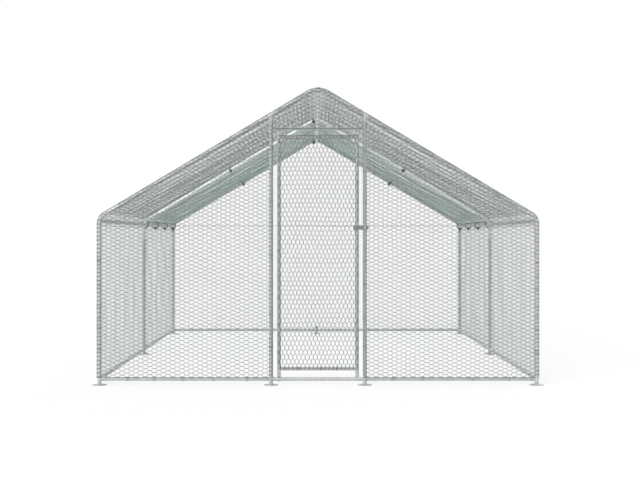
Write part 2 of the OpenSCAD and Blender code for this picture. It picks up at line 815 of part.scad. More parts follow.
module bay_tubes(x, z) {
  for (b = [0, 1]) translate([x, frame_ys[b] + rail_setback, z])
    pipe_y(rail_r, frame_ys[b + 1] - frame_ys[b] - 2 * rail_setback);
}

module ridge_purlins() {
  color("lightgray") drilled(ridge_purlin_screws()) bay_tubes(0, ridge_purlin_z);
}
module left_eave_purlins() {
  color("lightgray") drilled(eave_purlin_screws(-1)) bay_tubes(-purlin_x, purlin_z);
}
module right_eave_purlins() {
  color("lightgray") drilled(eave_purlin_screws(1)) bay_tubes(purlin_x, purlin_z);
}
module left_base_rails() {
  color("lightgray") drilled(side_rail_screws(-1)) bay_tubes(-leg_x, rail_height);
}
module right_base_rails() {
  color("lightgray") drilled(side_rail_screws(1)) bay_tubes(leg_x, rail_height);
}

module front_base_rails() {
  len = leg_x - jamb_x - 2 * rail_setback;
  color("lightgray") drilled(front_rail_screws()) {
    translate([-leg_x + rail_setback, front_y, rail_height]) pipe_x(rail_r, len);
    translate([jamb_x + rail_setback, front_y, rail_height]) pipe_x(rail_r, len);
  }
}

// Cross tube between the jambs with the hole for a pivot pin
module door_cross(z) {
  difference() {
    translate([-jamb_x + rail_setback, front_y, z]) pipe_x(rail_r, 2 * (jamb_x - rail_setback));
    translate([-door_x, front_y, z]) cylinder(r = pivot_hole_r, h = 2 * rail_d, center = true);
  }
}

module door_threshold() {
  color("lightgray") drilled(threshold_screws()) door_cross(rail_height);
}

module door_header() {
  color("lightgray") drilled([for (s = [-1, 1]) header_screw(s)]) door_cross(header_z);
}

module back_base_rails() {
  len = leg_x - 2 * rail_setback;
  color("lightgray") drilled(back_rail_screws()) {
    translate([-leg_x + rail_setback, back_y, rail_height]) pipe_x(rail_r, len);
    translate([rail_setback, back_y, rail_height]) pipe_x(rail_r, len);
  }
}

module left_door_jamb() jamb(-1);
module right_door_jamb() jamb(1);

module jamb_clamps() {
  color("silver") drilled([for (s = [-1, 1]) jamb_high_screw(s)]) {
    jamb_clamp();
    mirror([1, 0, 0]) jamb_clamp();
  }
}

module front_left_net() {
  color("darkgray") mirror([1, 0, 0]) half_net([clamp_area]);
}
module front_right_net() {
  color("darkgray") half_net([clamp_area, staple_area]);
}

module front_gable_net() {
  far = jamb_x + clamp_window;
  near = jamb_x - clamp_window;
  low = clamp_z - 2 * clamp_window;
  windows = [[near, low, far, ridge_height], [-far, low, -near, ridge_height]];
  color("darkgray") translate([0, front_y - net_in, 0]) rotate([90, 0, 0])
    netting(gable_wall(0), gable_wall(net_edge), windows)
      gaps([0, header_z + door_cell_h / 2], gable_x, ridge_height - header_z, door_cell_w, door_cell_h);
}

module back_net() {
  color("darkgray") translate([0, back_y + net_out, 0]) rotate([90, 0, 0])
    netting(whole_wall(0), whole_wall(net_edge), [])
      gaps([0, eave_height], net_x, ridge_height - eave_height + cell_h, cell_w, cell_h);
}

module left_side_net() {
  color("darkgray") mirror([1, 0, 0]) side_net();
}
module right_side_net() {
  color("darkgray") side_net();
}
module left_roof_net() {
  color("darkgray") mirror([1, 0, 0]) roof_net();
}
module right_roof_net() {
  color("darkgray") roof_net();
}

module roof_cover() {
  profile = concat(cover_line(cover_out), backwards(cover_line(cover_in)));
  color("darkseagreen") difference() {
    translate([0, back_y, 0]) rotate([90, 0, 0]) linear_extrude(back_y) polygon(profile);
    at_eyelets() cylinder(r = eyelet_hole_r, h = 4 * cover_thick, center = true);
  }
}

module cover_eyelets() {
  color("dimgray") at_eyelets() translate([0, 0, cover_thick / 2 + eyelet_gap])
    rotate_extrude() translate([eyelet_hole_r, 0]) square([eyelet_ring_r - eyelet_hole_r, eyelet_thick]);
}

module bungee_cords() {
  color("black") at_loops() rotate([0, 0, ball_turn - 90])
    rotate_extrude(angle = 360 - 2 * ball_turn) translate([loop_r, 0]) circle(r = cord_r);
}

module bungee_balls() {
  color("black") at_loops() translate([0, -loop_r, 0]) sphere(r = ball_r);
}

module frame_screws() {
  color("gray") {
    for (y = frame_ys) screws(portal_screws(y));
    screws(jamb_screws());
    for (s = [-1, 1]) {
      screws(side_rail_screws(s));
      screws(eave_purlin_screws(s));
    }
    screws(ridge_purlin_screws());
    screws(front_rail_screws());
    screws(threshold_screws());
    screws(back_rail_screws());
    screws([middle_foot_screw()]);
  }
}

module pivot_pin() {
  union() {
    translate([0, 0, -rail_r - head_gap - pivot_head_h]) cylinder(r = pivot_head_r, h = pivot_head_h);
    translate([0, 0, -rail_r - head_gap]) cylinder(r = pivot_r, h = rail_d + bush_len);
  }
}

module door_pivot_pins() {
  color("gray") {
    translate([-door_x, front_y, rail_height]) pivot_pin();
    translate([-door_x, front_y, header_z]) mirror([0, 0, 1]) pivot_pin();
  }
}

module hasp_staple() {
  root = tube_r + slip_gap + clamp_wall / 2;
  color("dimgray") translate([jamb_x, front_y, latch_z]) union() {
    difference() {
      cylinder(r = clamp_r, h = band_h, center = true);
      cylinder(r = tube_r + slip_gap, h = 2 * band_h, center = true);
    }
    for (w = [-1, 1]) translate([0, -root, w * staple_half]) rotate([90, 0, 0])
      cylinder(r = staple_r, h = staple_leg - root);
    translate([0, -staple_leg, 0]) mirror([0, 1, 0]) rotate([0, -90, 0])
      rotate_extrude(angle = 180) translate([staple_half, 0]) circle(r = staple_r);
  }
}

module door_hinge_stile() {
  places = [for (z = [door_low_z, door_top_z]) door_rail_screws(z)[0]];
  color("lightgray") drilled(places) translate([-door_x, front_y, 0]) stile(hinge_low, hinge_high);
}

module door_latch_stile() {
  places = [for (z = [door_low_z, door_top_z]) door_rail_screws(z)[1]];
  color("lightgray") drilled(places) translate([door_x, front_y, 0]) mirror([1, 0, 0])
    stile(latch_stile_low, latch_high);
}

module door_rails() {
  color("lightgray") for (z = [door_low_z, door_top_z]) drilled(door_rail_screws(z))
    translate([-door_x + rail_setback, front_y, z]) pipe_x(rail_r, 2 * (door_x - rail_setback));
}

module door_net() {
  x = door_x + rail_r / 2;
  low = door_low_z - rail_r;
  high = door_top_z + rail_r;
  e = net_edge;
  left = door_x - hasp_pin_x - knuckle_r - window_side;
  area = [left, latch_z - hasp_window, jamb_x, latch_z + hasp_window];
  color("darkgray") translate([0, front_y - door_net_in, 0]) rotate([90, 0, 0])
    netting(box_points(-x, low, x, high), box_points(-x + e, low + e, x - e, high - e), [area])
      translate([0, (low + high) / 2]) rotate(90) gaps([0, 0], (high - low) / 2, x, door_cell_w, door_cell_h);
}

module door_bushes_and_caps() {
  color([0.1, 0.1, 0.1]) {
    translate([-door_x, front_y, hinge_low]) bush();
    translate([-door_x, front_y, hinge_high]) mirror([0, 0, 1]) bush();
    translate([door_x, front_y, latch_stile_low]) end_cap();
    translate([door_x, front_y, latch_high]) mirror([0, 0, 1]) end_cap();
  }
}

module door_screws() {
  color("gray") for (z = [door_low_z, door_top_z]) screws(door_rail_screws(z));
}

module hasp_bracket_and_pin() {
  ring_r = rail_r + slip_gap + clamp_wall;
  ear_x = hasp_pin_x + knuckle_r;
  ear_y = hasp_front - knuckle_r - strap_gap / 2;
  fixed = knuckle_h / 2 + knuckle_gap;
  tall = hasp_h / 2 - fixed;
  color("dimgray") translate([door_x, front_y, latch_z]) {
    difference() {
      union() {
        cylinder(r = ring_r, h = hasp_h, center = true);
        translate([-ear_x, -ear_y, -hasp_h / 2]) cube([ear_x, ear_y, hasp_h]);
        for (z = [fixed, -hasp_h / 2]) {
          translate([-hasp_pin_x, -hasp_front, z]) cylinder(r = knuckle_r, h = tall);
          translate([-ear_x, -hasp_front, z]) cube([2 * knuckle_r, hasp_front - rail_r, tall]);
        }
      }
      cylinder(r = rail_r + slip_gap, h = 2 * hasp_h, center = true);
      translate([-hasp_pin_x, -hasp_front, 0])
        cylinder(r = hasp_pin_r + hasp_pin_fit, h = 2 * hasp_h, center = true);
    }
    translate([-hasp_pin_x, -hasp_front, 0]) {
      cylinder(r = hasp_pin_r, h = hasp_h + 2 * head_gap, center = true);
      for (m = [0, 1]) mirror([0, 0, m]) translate([0, 0, hasp_h / 2 + head_gap])
        cylinder(r = hasp_pin_head_r, h = hasp_pin_head_h);
    }
  }
}

module hasp_strap() {
  root = -hasp_pin_x + knuckle_r + strap_gap;
  tip = jamb_x - door_x + hasp_past;
  slot_x = jamb_x - door_x;
  color("gray") translate([door_x, front_y - hasp_front, latch_z]) difference() {
    union() {
      translate([-hasp_pin_x, 0, 0]) cylinder(r = knuckle_r, h = knuckle_h, center = true);
      translate([-hasp_pin_x, -hasp_thick / 2, -knuckle_h / 2])
        cube([root + hasp_pin_x + knuckle_r, hasp_thick, knuckle_h]);
      translate([root, -hasp_thick / 2, -hasp_h / 2]) cube([tip - root - hasp_h / 2, hasp_thick, hasp_h]);
      translate([tip - hasp_h / 2, 0, 0]) rotate([90, 0, 0])
        cylinder(r = hasp_h / 2, h = hasp_thick, center = true);
    }
    translate([-hasp_pin_x, 0, 0])
      cylinder(r = hasp_pin_r + hasp_pin_fit, h = 2 * hasp_h, center = true);
    translate([slot_x - slot_w / 2, -hasp_thick, -(slot_h - slot_w) / 2])
      cube([slot_w, 2 * hasp_thick, slot_h - slot_w]);
    for (w = [-1, 1]) translate([slot_x, 0, w * (slot_h - slot_w) / 2]) rotate([90, 0, 0])
      cylinder(r = slot_w / 2, h = 2 * hasp_thick, center = true);
  }
}

front_left_leg();
front_right_leg();
middle_legs();
back_left_leg();
back_right_leg();
front_left_rafter();
front_right_rafter();
middle_left_rafter();
middle_right_rafter();
back_left_rafter();
back_right_rafter();
front_eave_bends();
middle_eave_bends();
back_eave_bends();
front_ridge_bend();
middle_ridge_bend();
back_ridge_bend();
front_corner_bases();
door_jamb_bases();
middle_bases();
back_corner_bases();
back_middle_base();
front_feet();
middle_feet();
back_feet();
ridge_purlins();
left_eave_purlins();
right_eave_purlins();
left_base_rails();
right_base_rails();
front_base_rails();
door_threshold();
back_base_rails();
left_door_jamb();
right_door_jamb();
jamb_clamps();
door_header();
front_left_net();
front_right_net();
front_gable_net();
back_net();
left_side_net();
right_side_net();
left_roof_net();
right_roof_net();
roof_cover();
cover_eyelets();
bungee_cords();
bungee_balls();
frame_screws();
door_pivot_pins();
hasp_staple();
door_hinge_stile();
door_latch_stile();
door_rails();
door_net();
door_bushes_and_caps();
door_screws();
hasp_bracket_and_pin();
hasp_strap();
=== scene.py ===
import json
import math

import bmesh
import bpy
import numpy as np
from mathutils import Matrix, Vector


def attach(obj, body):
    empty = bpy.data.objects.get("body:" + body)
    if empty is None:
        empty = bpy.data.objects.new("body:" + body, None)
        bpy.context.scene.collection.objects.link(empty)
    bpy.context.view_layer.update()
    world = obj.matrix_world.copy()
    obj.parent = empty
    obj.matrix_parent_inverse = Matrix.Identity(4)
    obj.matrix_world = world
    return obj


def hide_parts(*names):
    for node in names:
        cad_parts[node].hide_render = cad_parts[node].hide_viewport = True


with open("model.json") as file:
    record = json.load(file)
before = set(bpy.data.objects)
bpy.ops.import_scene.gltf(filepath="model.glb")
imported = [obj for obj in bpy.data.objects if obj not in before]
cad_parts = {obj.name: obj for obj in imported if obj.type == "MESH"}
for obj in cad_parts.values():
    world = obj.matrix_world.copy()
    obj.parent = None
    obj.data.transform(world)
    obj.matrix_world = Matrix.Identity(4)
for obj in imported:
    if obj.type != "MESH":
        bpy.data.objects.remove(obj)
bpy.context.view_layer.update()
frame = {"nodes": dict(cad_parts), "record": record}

nodes = frame["nodes"]
scene = bpy.context.scene

# Portal frames, in metres, from the part's own named values
LEG_X = 1.5
HALF_DEPTH = 2.0
EAVE_Z = 1.15
RIDGE_Z = 2.045
TUBE_R = 0.014
RAIL_R = 0.0125
EAVE_R = 0.070
RIDGE_R = 0.120
SLOPE = math.atan((RIDGE_Z - EAVE_Z) / LEG_X)
TURN = math.pi / 2 - SLOPE
EAVE_TAN = EAVE_R * math.tan(TURN / 2)
RIDGE_TAN = RIDGE_R * math.tan(SLOPE)
SLOPE_LEN = LEG_X / math.cos(SLOPE)
BEND_X = LEG_X - EAVE_R
BEND_Z = EAVE_Z - EAVE_TAN
RIDGE_MID_Z = RIDGE_Z - RIDGE_R / math.cos(SLOPE)
RIDGE_PURLIN_Z = RIDGE_MID_Z + RIDGE_R
PURLIN_TURN = math.radians(14)
PURLIN_X = BEND_X + EAVE_R * math.cos(PURLIN_TURN)
PURLIN_Z = BEND_Z + EAVE_R * math.sin(PURLIN_TURN)
RAIL_Z = 0.042

# Doorway and door
JAMB_X = 0.322
CLAMP_Z = EAVE_Z + (LEG_X - JAMB_X) * math.tan(SLOPE)
CLAMP_FAR = (LEG_X - JAMB_X) / math.cos(SLOPE)
HEADER_DROP = 0.093
HEADER_Z = CLAMP_Z - HEADER_DROP
DOOR_X = 0.268
DOOR_TOP_DROP = 0.058
DOOR_TOP_Z = HEADER_Z - DOOR_TOP_DROP
DOOR_LOW_Z = 0.113
LATCH_Z = 1.080

# Ways in the shared frame, and one that no wire runs along
FORWARD = (0, -1, 0)
BACKWARD = (0, 1, 0)
UPWARD = (0, 0, 1)
ODD_WAY = (0.31, 0.17, 0.94)

# Netting: column and row pitch of the twists, their length, and the radii of its wires and edges
COL = 0.0315
ROW = 0.0275
TWIST = 0.018
FRONT_WIRE = 0.0017
DOOR_WIRE = 0.0019
GABLE_WIRE = 0.0015
SIDE_WIRE = 0.00092
FRONT_ROOF_WIRE = 0.00064
REAR_ROOF_WIRE = 0.00049
SELVAGE = 0.0008
ROLL_EDGE = 0.0022

# Netting: its planes off the tubes and the edges of its panels
NET_GAP = 0.0014
WIRE_SINK = 0.0003
NET_OFF = TUBE_R + NET_GAP
FRONT_NET_OFF = TUBE_R + 2 * FRONT_WIRE - WIRE_SINK
DOOR_NET_OFF = RAIL_R + 2 * DOOR_WIRE - WIRE_SINK
NET_X = LEG_X + TUBE_R
NET_Y = HALF_DEPTH + TUBE_R
NET_LOW = 0.046
FRONT_NET_LOW = 0.0505
SIDE_TOP = BEND_Z - TUBE_R
ROOF_LOW = SIDE_TOP - BEND_Z
JAMB_IN = JAMB_X - TUBE_R
GABLE_GAP = 0.004
GABLE_X = JAMB_IN - GABLE_GAP
GABLE_LAP = 0.001
GABLE_LOW = HEADER_Z - GABLE_LAP
DOOR_NET_X = DOOR_X + RAIL_R / 2
DOOR_NET_LAP = 0.002
DOOR_NET_LOW = DOOR_LOW_Z - DOOR_NET_LAP
DOOR_NET_TOP = DOOR_TOP_Z + RAIL_R
DOOR_ROLL_RISE = 0.007
DOOR_ROLL_Z = DOOR_TOP_Z + DOOR_ROLL_RISE
SEAM_DROP = 0.016
SEAM_LAP = 0.012
BACK_SEAM = EAVE_Z - SEAM_DROP
MID_BAY = HALF_DEPTH / 2
ROLL_LAP = 0.006

# Netting: shares by which the edge wires are drawn in, the spacing of their points and their sides
FRONT_INSET = 0.0015
GABLE_INSET = 0.003
BACK_INSET = 0.0012
SIDE_INSET = 0.001
ROOF_INSET = 0.0006
DOOR_INSET = 0.002
EDGE_STEP = 0.06
EDGE_SIDES = 4

# Netting: windows for the clamps, the staple and the hasp, each from its low corner to its high one
CLAMP_HALF = 0.024
CLAMP_DROP = 0.048
ROOF_CLAMP_IN = 0.0225
ROOF_CLAMP_OUT = 0.05
STAPLE_HALF = 0.021
STAPLE_IN = 0.033
STAPLE_OUT = 0.0255
HASP_HALF = 0.019
HASP_REACH = 0.0325
CLAMP_WINDOW = (JAMB_X - CLAMP_HALF, CLAMP_Z - CLAMP_DROP, JAMB_X + CLAMP_HALF, RIDGE_Z)
STAPLE_WINDOW = (JAMB_X - STAPLE_IN, LATCH_Z - STAPLE_HALF, JAMB_X + STAPLE_OUT, LATCH_Z + STAPLE_HALF)
HASP_WINDOW = (LATCH_Z - HASP_HALF, -JAMB_X, LATCH_Z + HASP_HALF, -DOOR_X + HASP_REACH)

# Netting: how uneven its mesh is, how its walls bulge, and how far from the tubes that starts
JITTER = 0.0004
WARP = 0.0013
WARP_LENGTH = 0.35
WARP_SEEDS = 7
WALL_BULGE = 0.004
GABLE_BULGE = 0.002
DOOR_BULGE = 0.003
BULGE_LENGTH = 0.55
WALL_EASE = 0.25
GABLE_EASE = 0.1
DOOR_EASE = 0.15
GABLE_SEED = 13
BACK_LOW_SEED = 14
BACK_TOP_SEED = 15
DOOR_SEED = 20

# Netting: sag and ripples of the roof
SAG = 0.009
SAG_CHANGE = 0.25
SAG_LENGTH = 0.9
SAG_EASE = 0.7
SAG_SEED = 21
RIPPLE = 0.0015
REAR_RIPPLE = 0.0013
RIPPLE_STRETCH = 0.12
RIPPLE_LENGTH = 0.22
RIPPLE_EASE = 0.15
RIPPLE_SEED = 22
ROLL_SEEDS = 40

# Netting: how far and how wide it parts round a cord, and how its wires are cut at an edge
PART_REACH = 0.05
PART_GAP = 0.002
TINY = 1e-9
CUT_STEPS = 9
SHORTEST_END = 0.02

# Random fields: how many waves they add up, the spread of their lengths and what scales their height
WAVE_COUNT = 7
WAVE_SPREAD = (0.6, 1.8)
WAVE_HEIGHT = 2.2

# Roof sheet and its ties
COVER_GAP = 0.0038
COVER_OFF = TUBE_R + COVER_GAP
COVER_EDGE = math.radians(9)
HEM = 0.030
STITCH_IN = 0.004
STITCH_HALF = 0.0007
STITCH_WAVE = 38.0
STITCH_LOW = 0.3
THREAD_WAVE = 95.0
LOOP_R = 0.028
CORD_R = 0.0034
BALL_R = 0.013
FIRST_LOOP_Y = 0.050
LAST_LOOP_Y = 1.950
EAVE_LOOPS = 4
LOOP_YS = np.linspace(FIRST_LOOP_Y, LAST_LOOP_Y, EAVE_LOOPS)
RIDGE_LOOP_TURN = math.radians(15)
# Depth, share of the slope and forward turn of the balls, for the loops on the middle and back rafters
RAFTER_LOOPS = ((0.0, 0.5, math.radians(80)), (HALF_DEPTH, 0.485, math.radians(45)))

# Lengths along the roof's centre line, from the foot of the eave bend to the ridge
ARC_EAVE = EAVE_R * TURN
STRAIGHT = SLOPE_LEN - EAVE_TAN - RIDGE_TAN
ARC_RIDGE = RIDGE_R * SLOPE
ROOF_LEN = ARC_EAVE + STRAIGHT + ARC_RIDGE


def roof_line(t, n):
    """Points x, z of the right roof side at length t along its centre line and height n over it."""
    t = np.asarray(t, float)
    n = np.asarray(n, float) + 0 * t
    a = np.clip(t, 0, ARC_EAVE) / EAVE_R
    x = BEND_X + (EAVE_R + n) * np.cos(a)
    z = BEND_Z + (EAVE_R + n) * np.sin(a) + np.minimum(t, 0)
    u = np.clip(t - ARC_EAVE, 0, STRAIGHT)
    x = x - u * math.cos(SLOPE)
    z = z + u * math.sin(SLOPE)
    b = SLOPE - np.clip(t - ARC_EAVE - STRAIGHT, 0, ARC_RIDGE) / RIDGE_R
    top = t > ARC_EAVE + STRAIGHT
    x = np.where(top, (RIDGE_R + n) * np.sin(b), x)
    z = np.where(top, RIDGE_MID_Z + (RIDGE_R + n) * np.cos(b), z)
    return x, z


# Height of the sheet's eave hems, margin of a piece's map, and no triangles
HEM_Z = float(roof_line(EAVE_R * COVER_EDGE + HEM, COVER_OFF)[1])
MAP_MARGIN = 0.01
NO_TRIANGLES = np.zeros((0, 3), int)


# Material nodes
def new_material(name):
    """An empty material with one shader."""
    mat = bpy.data.materials.new(name)
    mat.use_nodes = True
    tree = mat.node_tree
    tree.nodes.clear()
    out = tree.nodes.new("ShaderNodeOutputMaterial")
    shader = tree.nodes.new("ShaderNodeBsdfPrincipled")
    tree.links.new(shader.outputs[0], out.inputs[0])
    return mat, tree, shader


def texture(tree, kind, scale, stretch=(1, 1, 1), **inputs):
    """A texture node in object coordinates."""
    coord = tree.nodes.new("ShaderNodeTexCoord")
    mapping = tree.nodes.new("ShaderNodeMapping")
    mapping.inputs["Scale"].default_value = stretch
    node = tree.nodes.new(kind)
    node.inputs["Scale"].default_value = scale
    for key, value in inputs.items():
        node.inputs[key].default_value = value
    tree.links.new(coord.outputs["Object"], mapping.inputs["Vector"])
    tree.links.new(mapping.outputs[0], node.inputs["Vector"])
    return node


def ramp(tree, source, stops):
    """The source's value turned into tones, grey or coloured, between the stops."""
    node = tree.nodes.new("ShaderNodeValToRGB")
    while len(node.color_ramp.elements) < len(stops):
        node.color_ramp.elements.new(0.5)
    for e, (place, tone) in zip(node.color_ramp.elements, stops):
        e.position = place
        e.color = (tone if hasattr(tone, "__len__") else (tone,) * 3) + (1,)
    tree.links.new(source, node.inputs["Fac"])
    return node.outputs[0]


def fed(tree, socket, value):
    """A socket linked to another one, or set to a constant."""
    if isinstance(value, bpy.types.NodeSocket):
        tree.links.new(value, socket)
    else:
        socket.default_value = value


def mixed(tree, factor, a, b, blend="MIX"):
    """Two colours mixed by a factor."""
    node = tree.nodes.new("ShaderNodeMix")
    node.data_type = "RGBA"
    node.blend_type = blend
    for socket, value in ((node.inputs[0], factor), (node.inputs[6], a), (node.inputs[7], b)):
        fed(tree, socket, value)
    return node.outputs[2]


def combined(tree, kind, first, *others):
    """Values taken together one after another by a math node of that kind."""
    for other in others:
        node = tree.nodes.new("ShaderNodeMath")
        node.operation = kind
        for socket, value in zip(node.inputs, (first, other)):
            fed(tree, socket, value)
        first = node.outputs[0]
    return first


def bumped(tree, shader, height, strength, distance):
    """The shader's normal disturbed by a height."""
    node = tree.nodes.new("ShaderNodeBump")
    node.inputs["Strength"].default_value = strength
    node.inputs["Distance"].default_value = distance
    tree.links.new(height, node.inputs["Height"])
    tree.links.new(node.outputs[0], shader.inputs["Normal"])


# Materials
def galvanised(name, dark, light, metallic, spangle, rough):
    """Zinc with crystal spangle, dull patches and faint streaks."""
    mat, tree, shader = new_material(name)
    cells = texture(tree, "ShaderNodeTexVoronoi", spangle)
    patches = texture(tree, "ShaderNodeTexNoise", scale=7.0, Detail=6.0, Roughness=0.62)
    streaks = texture(tree, "ShaderNodeTexNoise", scale=30.0, stretch=(1, 1, 0.12), Detail=4.0)
    tone = mixed(tree, 0.42, patches.outputs["Fac"], cells.outputs["Color"])
    tone = mixed(tree, 0.3, tone, streaks.outputs["Fac"])
    between = tuple((a + b) / 2 for a, b in zip(dark, light))
    colour = ramp(tree, tone, [(0.25, dark), (0.5, between), (0.75, light)])
    tree.links.new(colour, shader.inputs["Base Color"])
    tree.links.new(ramp(tree, tone, [(0.2, rough[0]), (0.8, rough[1])]), shader.inputs["Roughness"])
    shader.inputs["Metallic"].default_value = metallic
    bumped(tree, shader, cells.outputs["Distance"], strength=0.12, distance=0.0006)
    return mat


def net_wire(name, dark, light):
    """Weathered netting wire, dull with darker runs."""
    mat, tree, shader = new_material(name)
    runs = texture(tree, "ShaderNodeTexNoise", scale=5.0, Detail=5.0, Roughness=0.6)
    grain = texture(tree, "ShaderNodeTexNoise", scale=240.0, Detail=2.0)
    tone = mixed(tree, 0.45, runs.outputs["Fac"], grain.outputs["Fac"])
    tree.links.new(ramp(tree, tone, [(0.3, dark), (0.7, light)]), shader.inputs["Base Color"])
    tree.links.new(ramp(tree, tone, [(0.25, 0.42), (0.75, 0.66)]), shader.inputs["Roughness"])
    shader.inputs["Metallic"].default_value = 0.3
    bumped(tree, shader, grain.outputs["Fac"], strength=0.1, distance=0.0002)
    return mat


def sheet_hems(tree, y, z):
    """Masks of the sheet's folded hems and of the stitches along them, from its depth y and height z."""
    from_end = combined(tree, "MINIMUM", y, combined(tree, "SUBTRACT", HALF_DEPTH, y))
    end_hems = combined(tree, "LESS_THAN", from_end, HEM)
    eave_hems = combined(tree, "LESS_THAN", z, HEM_Z)
    rows = []
    for place, line, stretch, way in (
        (from_end, HEM - STITCH_IN, (1, 0, 1), "X"), (z, HEM_Z - STITCH_IN, (0, 1, 0), "Y")
    ):
        off = combined(tree, "ABSOLUTE", combined(tree, "SUBTRACT", place, line), 0.0)
        dashes = texture(tree, "ShaderNodeTexWave", STITCH_WAVE, stretch)
        dashes.bands_direction = way
        sewn = combined(tree, "GREATER_THAN", dashes.outputs["Fac"], STITCH_LOW)
        rows.append(combined(tree, "MULTIPLY", combined(tree, "LESS_THAN", off, STITCH_HALF), sewn))
    return combined(tree, "MAXIMUM", end_hems, eave_hems), combined(tree, "MAXIMUM", *rows)


def woven_sheet(name):
    """Thin translucent woven sheet: crossing threads, stitched hems, wear and a faded forward half."""
    mat, tree, shader = new_material(name)
    across = texture(tree, "ShaderNodeTexWave", THREAD_WAVE, (1, 0, 1))
    along = texture(tree, "ShaderNodeTexWave", THREAD_WAVE, (0, 1, 0))
    along.bands_direction = "Y"
    weave = mixed(tree, 0.5, across.outputs["Fac"], along.outputs["Fac"])
    clouds = texture(tree, "ShaderNodeTexNoise", scale=3.2, Detail=7.0, Roughness=0.6)
    streaks = texture(
        tree, "ShaderNodeTexNoise", scale=9.0, stretch=(0.08, 1, 0.08), Detail=5.0, Roughness=0.65
    )
    tone = mixed(tree, 0.3, clouds.outputs["Fac"], weave)
    worn = mixed(tree, 0.2, streaks.outputs["Fac"], weave)
    coord = tree.nodes.new("ShaderNodeTexCoord")
    axes = tree.nodes.new("ShaderNodeSeparateXYZ")
    tree.links.new(coord.outputs["Object"], axes.inputs[0])
    y, z = axes.outputs[1], axes.outputs[2]
    folded, stitches = sheet_hems(tree, y, z)
    fresh = ramp(tree, tone, [(0.25, (0.14, 0.60, 0.45)), (0.75, (0.32, 0.83, 0.67))])
    faded = ramp(tree, tone, [(0.25, (0.30, 0.58, 0.49)), (0.75, (0.50, 0.79, 0.70))])
    back = ramp(tree, combined(tree, "DIVIDE", y, HALF_DEPTH), [(0.2, 0.0), (0.55, 1.0)])
    colour = mixed(tree, back, faded, fresh)
    sewn_colour = mixed(tree, stitches, colour, (0.03, 0.22, 0.15, 1))
    tree.links.new(sewn_colour, shader.inputs["Base Color"])
    tree.links.new(ramp(tree, tone, [(0.3, 0.42), (0.7, 0.62)]), shader.inputs["Roughness"])
    single = ramp(tree, worn, [(0.3, 0.16), (0.5, 0.22), (0.7, 0.31)])
    double = ramp(tree, worn, [(0.3, 0.27), (0.5, 0.35), (0.7, 0.46)])
    shown = mixed(tree, folded, single, double)
    tree.links.new(mixed(tree, stitches, shown, (0.95, 0.95, 0.95, 1)), shader.inputs["Alpha"])
    bumped(tree, shader, mixed(tree, stitches, weave, (2.0, 2.0, 2.0, 1)), strength=0.16, distance=0.0004)
    return mat


def moulded(name, dark, light, rough):
    """Moulded black plastic with fine grain and scuffs."""
    mat, tree, shader = new_material(name)
    grain = texture(tree, "ShaderNodeTexNoise", scale=420.0, Detail=3.0)
    scuffs = texture(tree, "ShaderNodeTexNoise", scale=60.0, Detail=6.0, Roughness=0.7).outputs["Fac"]
    tree.links.new(ramp(tree, scuffs, [(0.35, dark), (0.8, light)]), shader.inputs["Base Color"])
    tree.links.new(ramp(tree, scuffs, [(0.3, rough[0]), (0.75, rough[1])]), shader.inputs["Roughness"])
    bumped(tree, shader, grain.outputs["Fac"], strength=0.15, distance=0.0002)
    return mat


def braided(name, dark, light):
    """Elastic cord in a braided sleeve."""
    mat, tree, shader = new_material(name)
    one = texture(tree, "ShaderNodeTexWave", scale=210.0, Distortion=0.4)
    two = texture(tree, "ShaderNodeTexWave", scale=210.0, stretch=(1, -1, -1), Distortion=0.4)
    braid = mixed(tree, 1.0, one.outputs["Fac"], two.outputs["Fac"], "MULTIPLY")
    tree.links.new(ramp(tree, braid, [(0.1, dark), (0.9, light)]), shader.inputs["Base Color"])
    tree.links.new(ramp(tree, braid, [(0.0, 0.85), (1.0, 0.6)]), shader.inputs["Roughness"])
    bumped(tree, shader, braid, strength=0.6, distance=0.0006)
    return mat


# Zinc coatings: darkest and lightest tone, metallic share, spangle scale and range of roughness
ZINC = {
    "galvanised_tube": ((0.385, 0.405, 0.405), (0.60, 0.62, 0.62), 0.2, 85.0, (0.34, 0.56)),
    # Lighter copy of the tube zinc, painted light on the base rails, front legs, corner bases and eave
    # bends, which sit in shade
    "painted_light_tube": ((0.50, 0.52, 0.52), (0.70, 0.72, 0.72), 0.2, 85.0, (0.32, 0.54)),
    # Lighter copy of the tube zinc that paints highlights on the ridge purlins, middle rafters, middle
    # ridge bend and hasp staple
    "painted_highlight_tube": ((0.70, 0.72, 0.72), (0.88, 0.90, 0.90), 0.2, 85.0, (0.30, 0.50)),
    "plated_steel": ((0.42, 0.43, 0.44), (0.62, 0.63, 0.64), 0.7, 160.0, (0.22, 0.4)),
    "hasp_steel": ((0.145, 0.154, 0.152), (0.26, 0.274, 0.271), 0.4, 120.0, (0.3, 0.5)),
}
MATERIALS = {name: galvanised(name, *finish) for name, finish in ZINC.items()}
MATERIALS.update(
    netting_wire=net_wire("netting_wire", (0.070, 0.105, 0.097), (0.150, 0.195, 0.182)),
    cover_sheet=woven_sheet("cover_sheet"),
    elastic_cord=braided("elastic_cord", (0.008, 0.008, 0.009), (0.035, 0.035, 0.037)),
    black_plastic=moulded("black_plastic", (0.010, 0.010, 0.011), (0.040, 0.040, 0.042), (0.28, 0.5)),
)

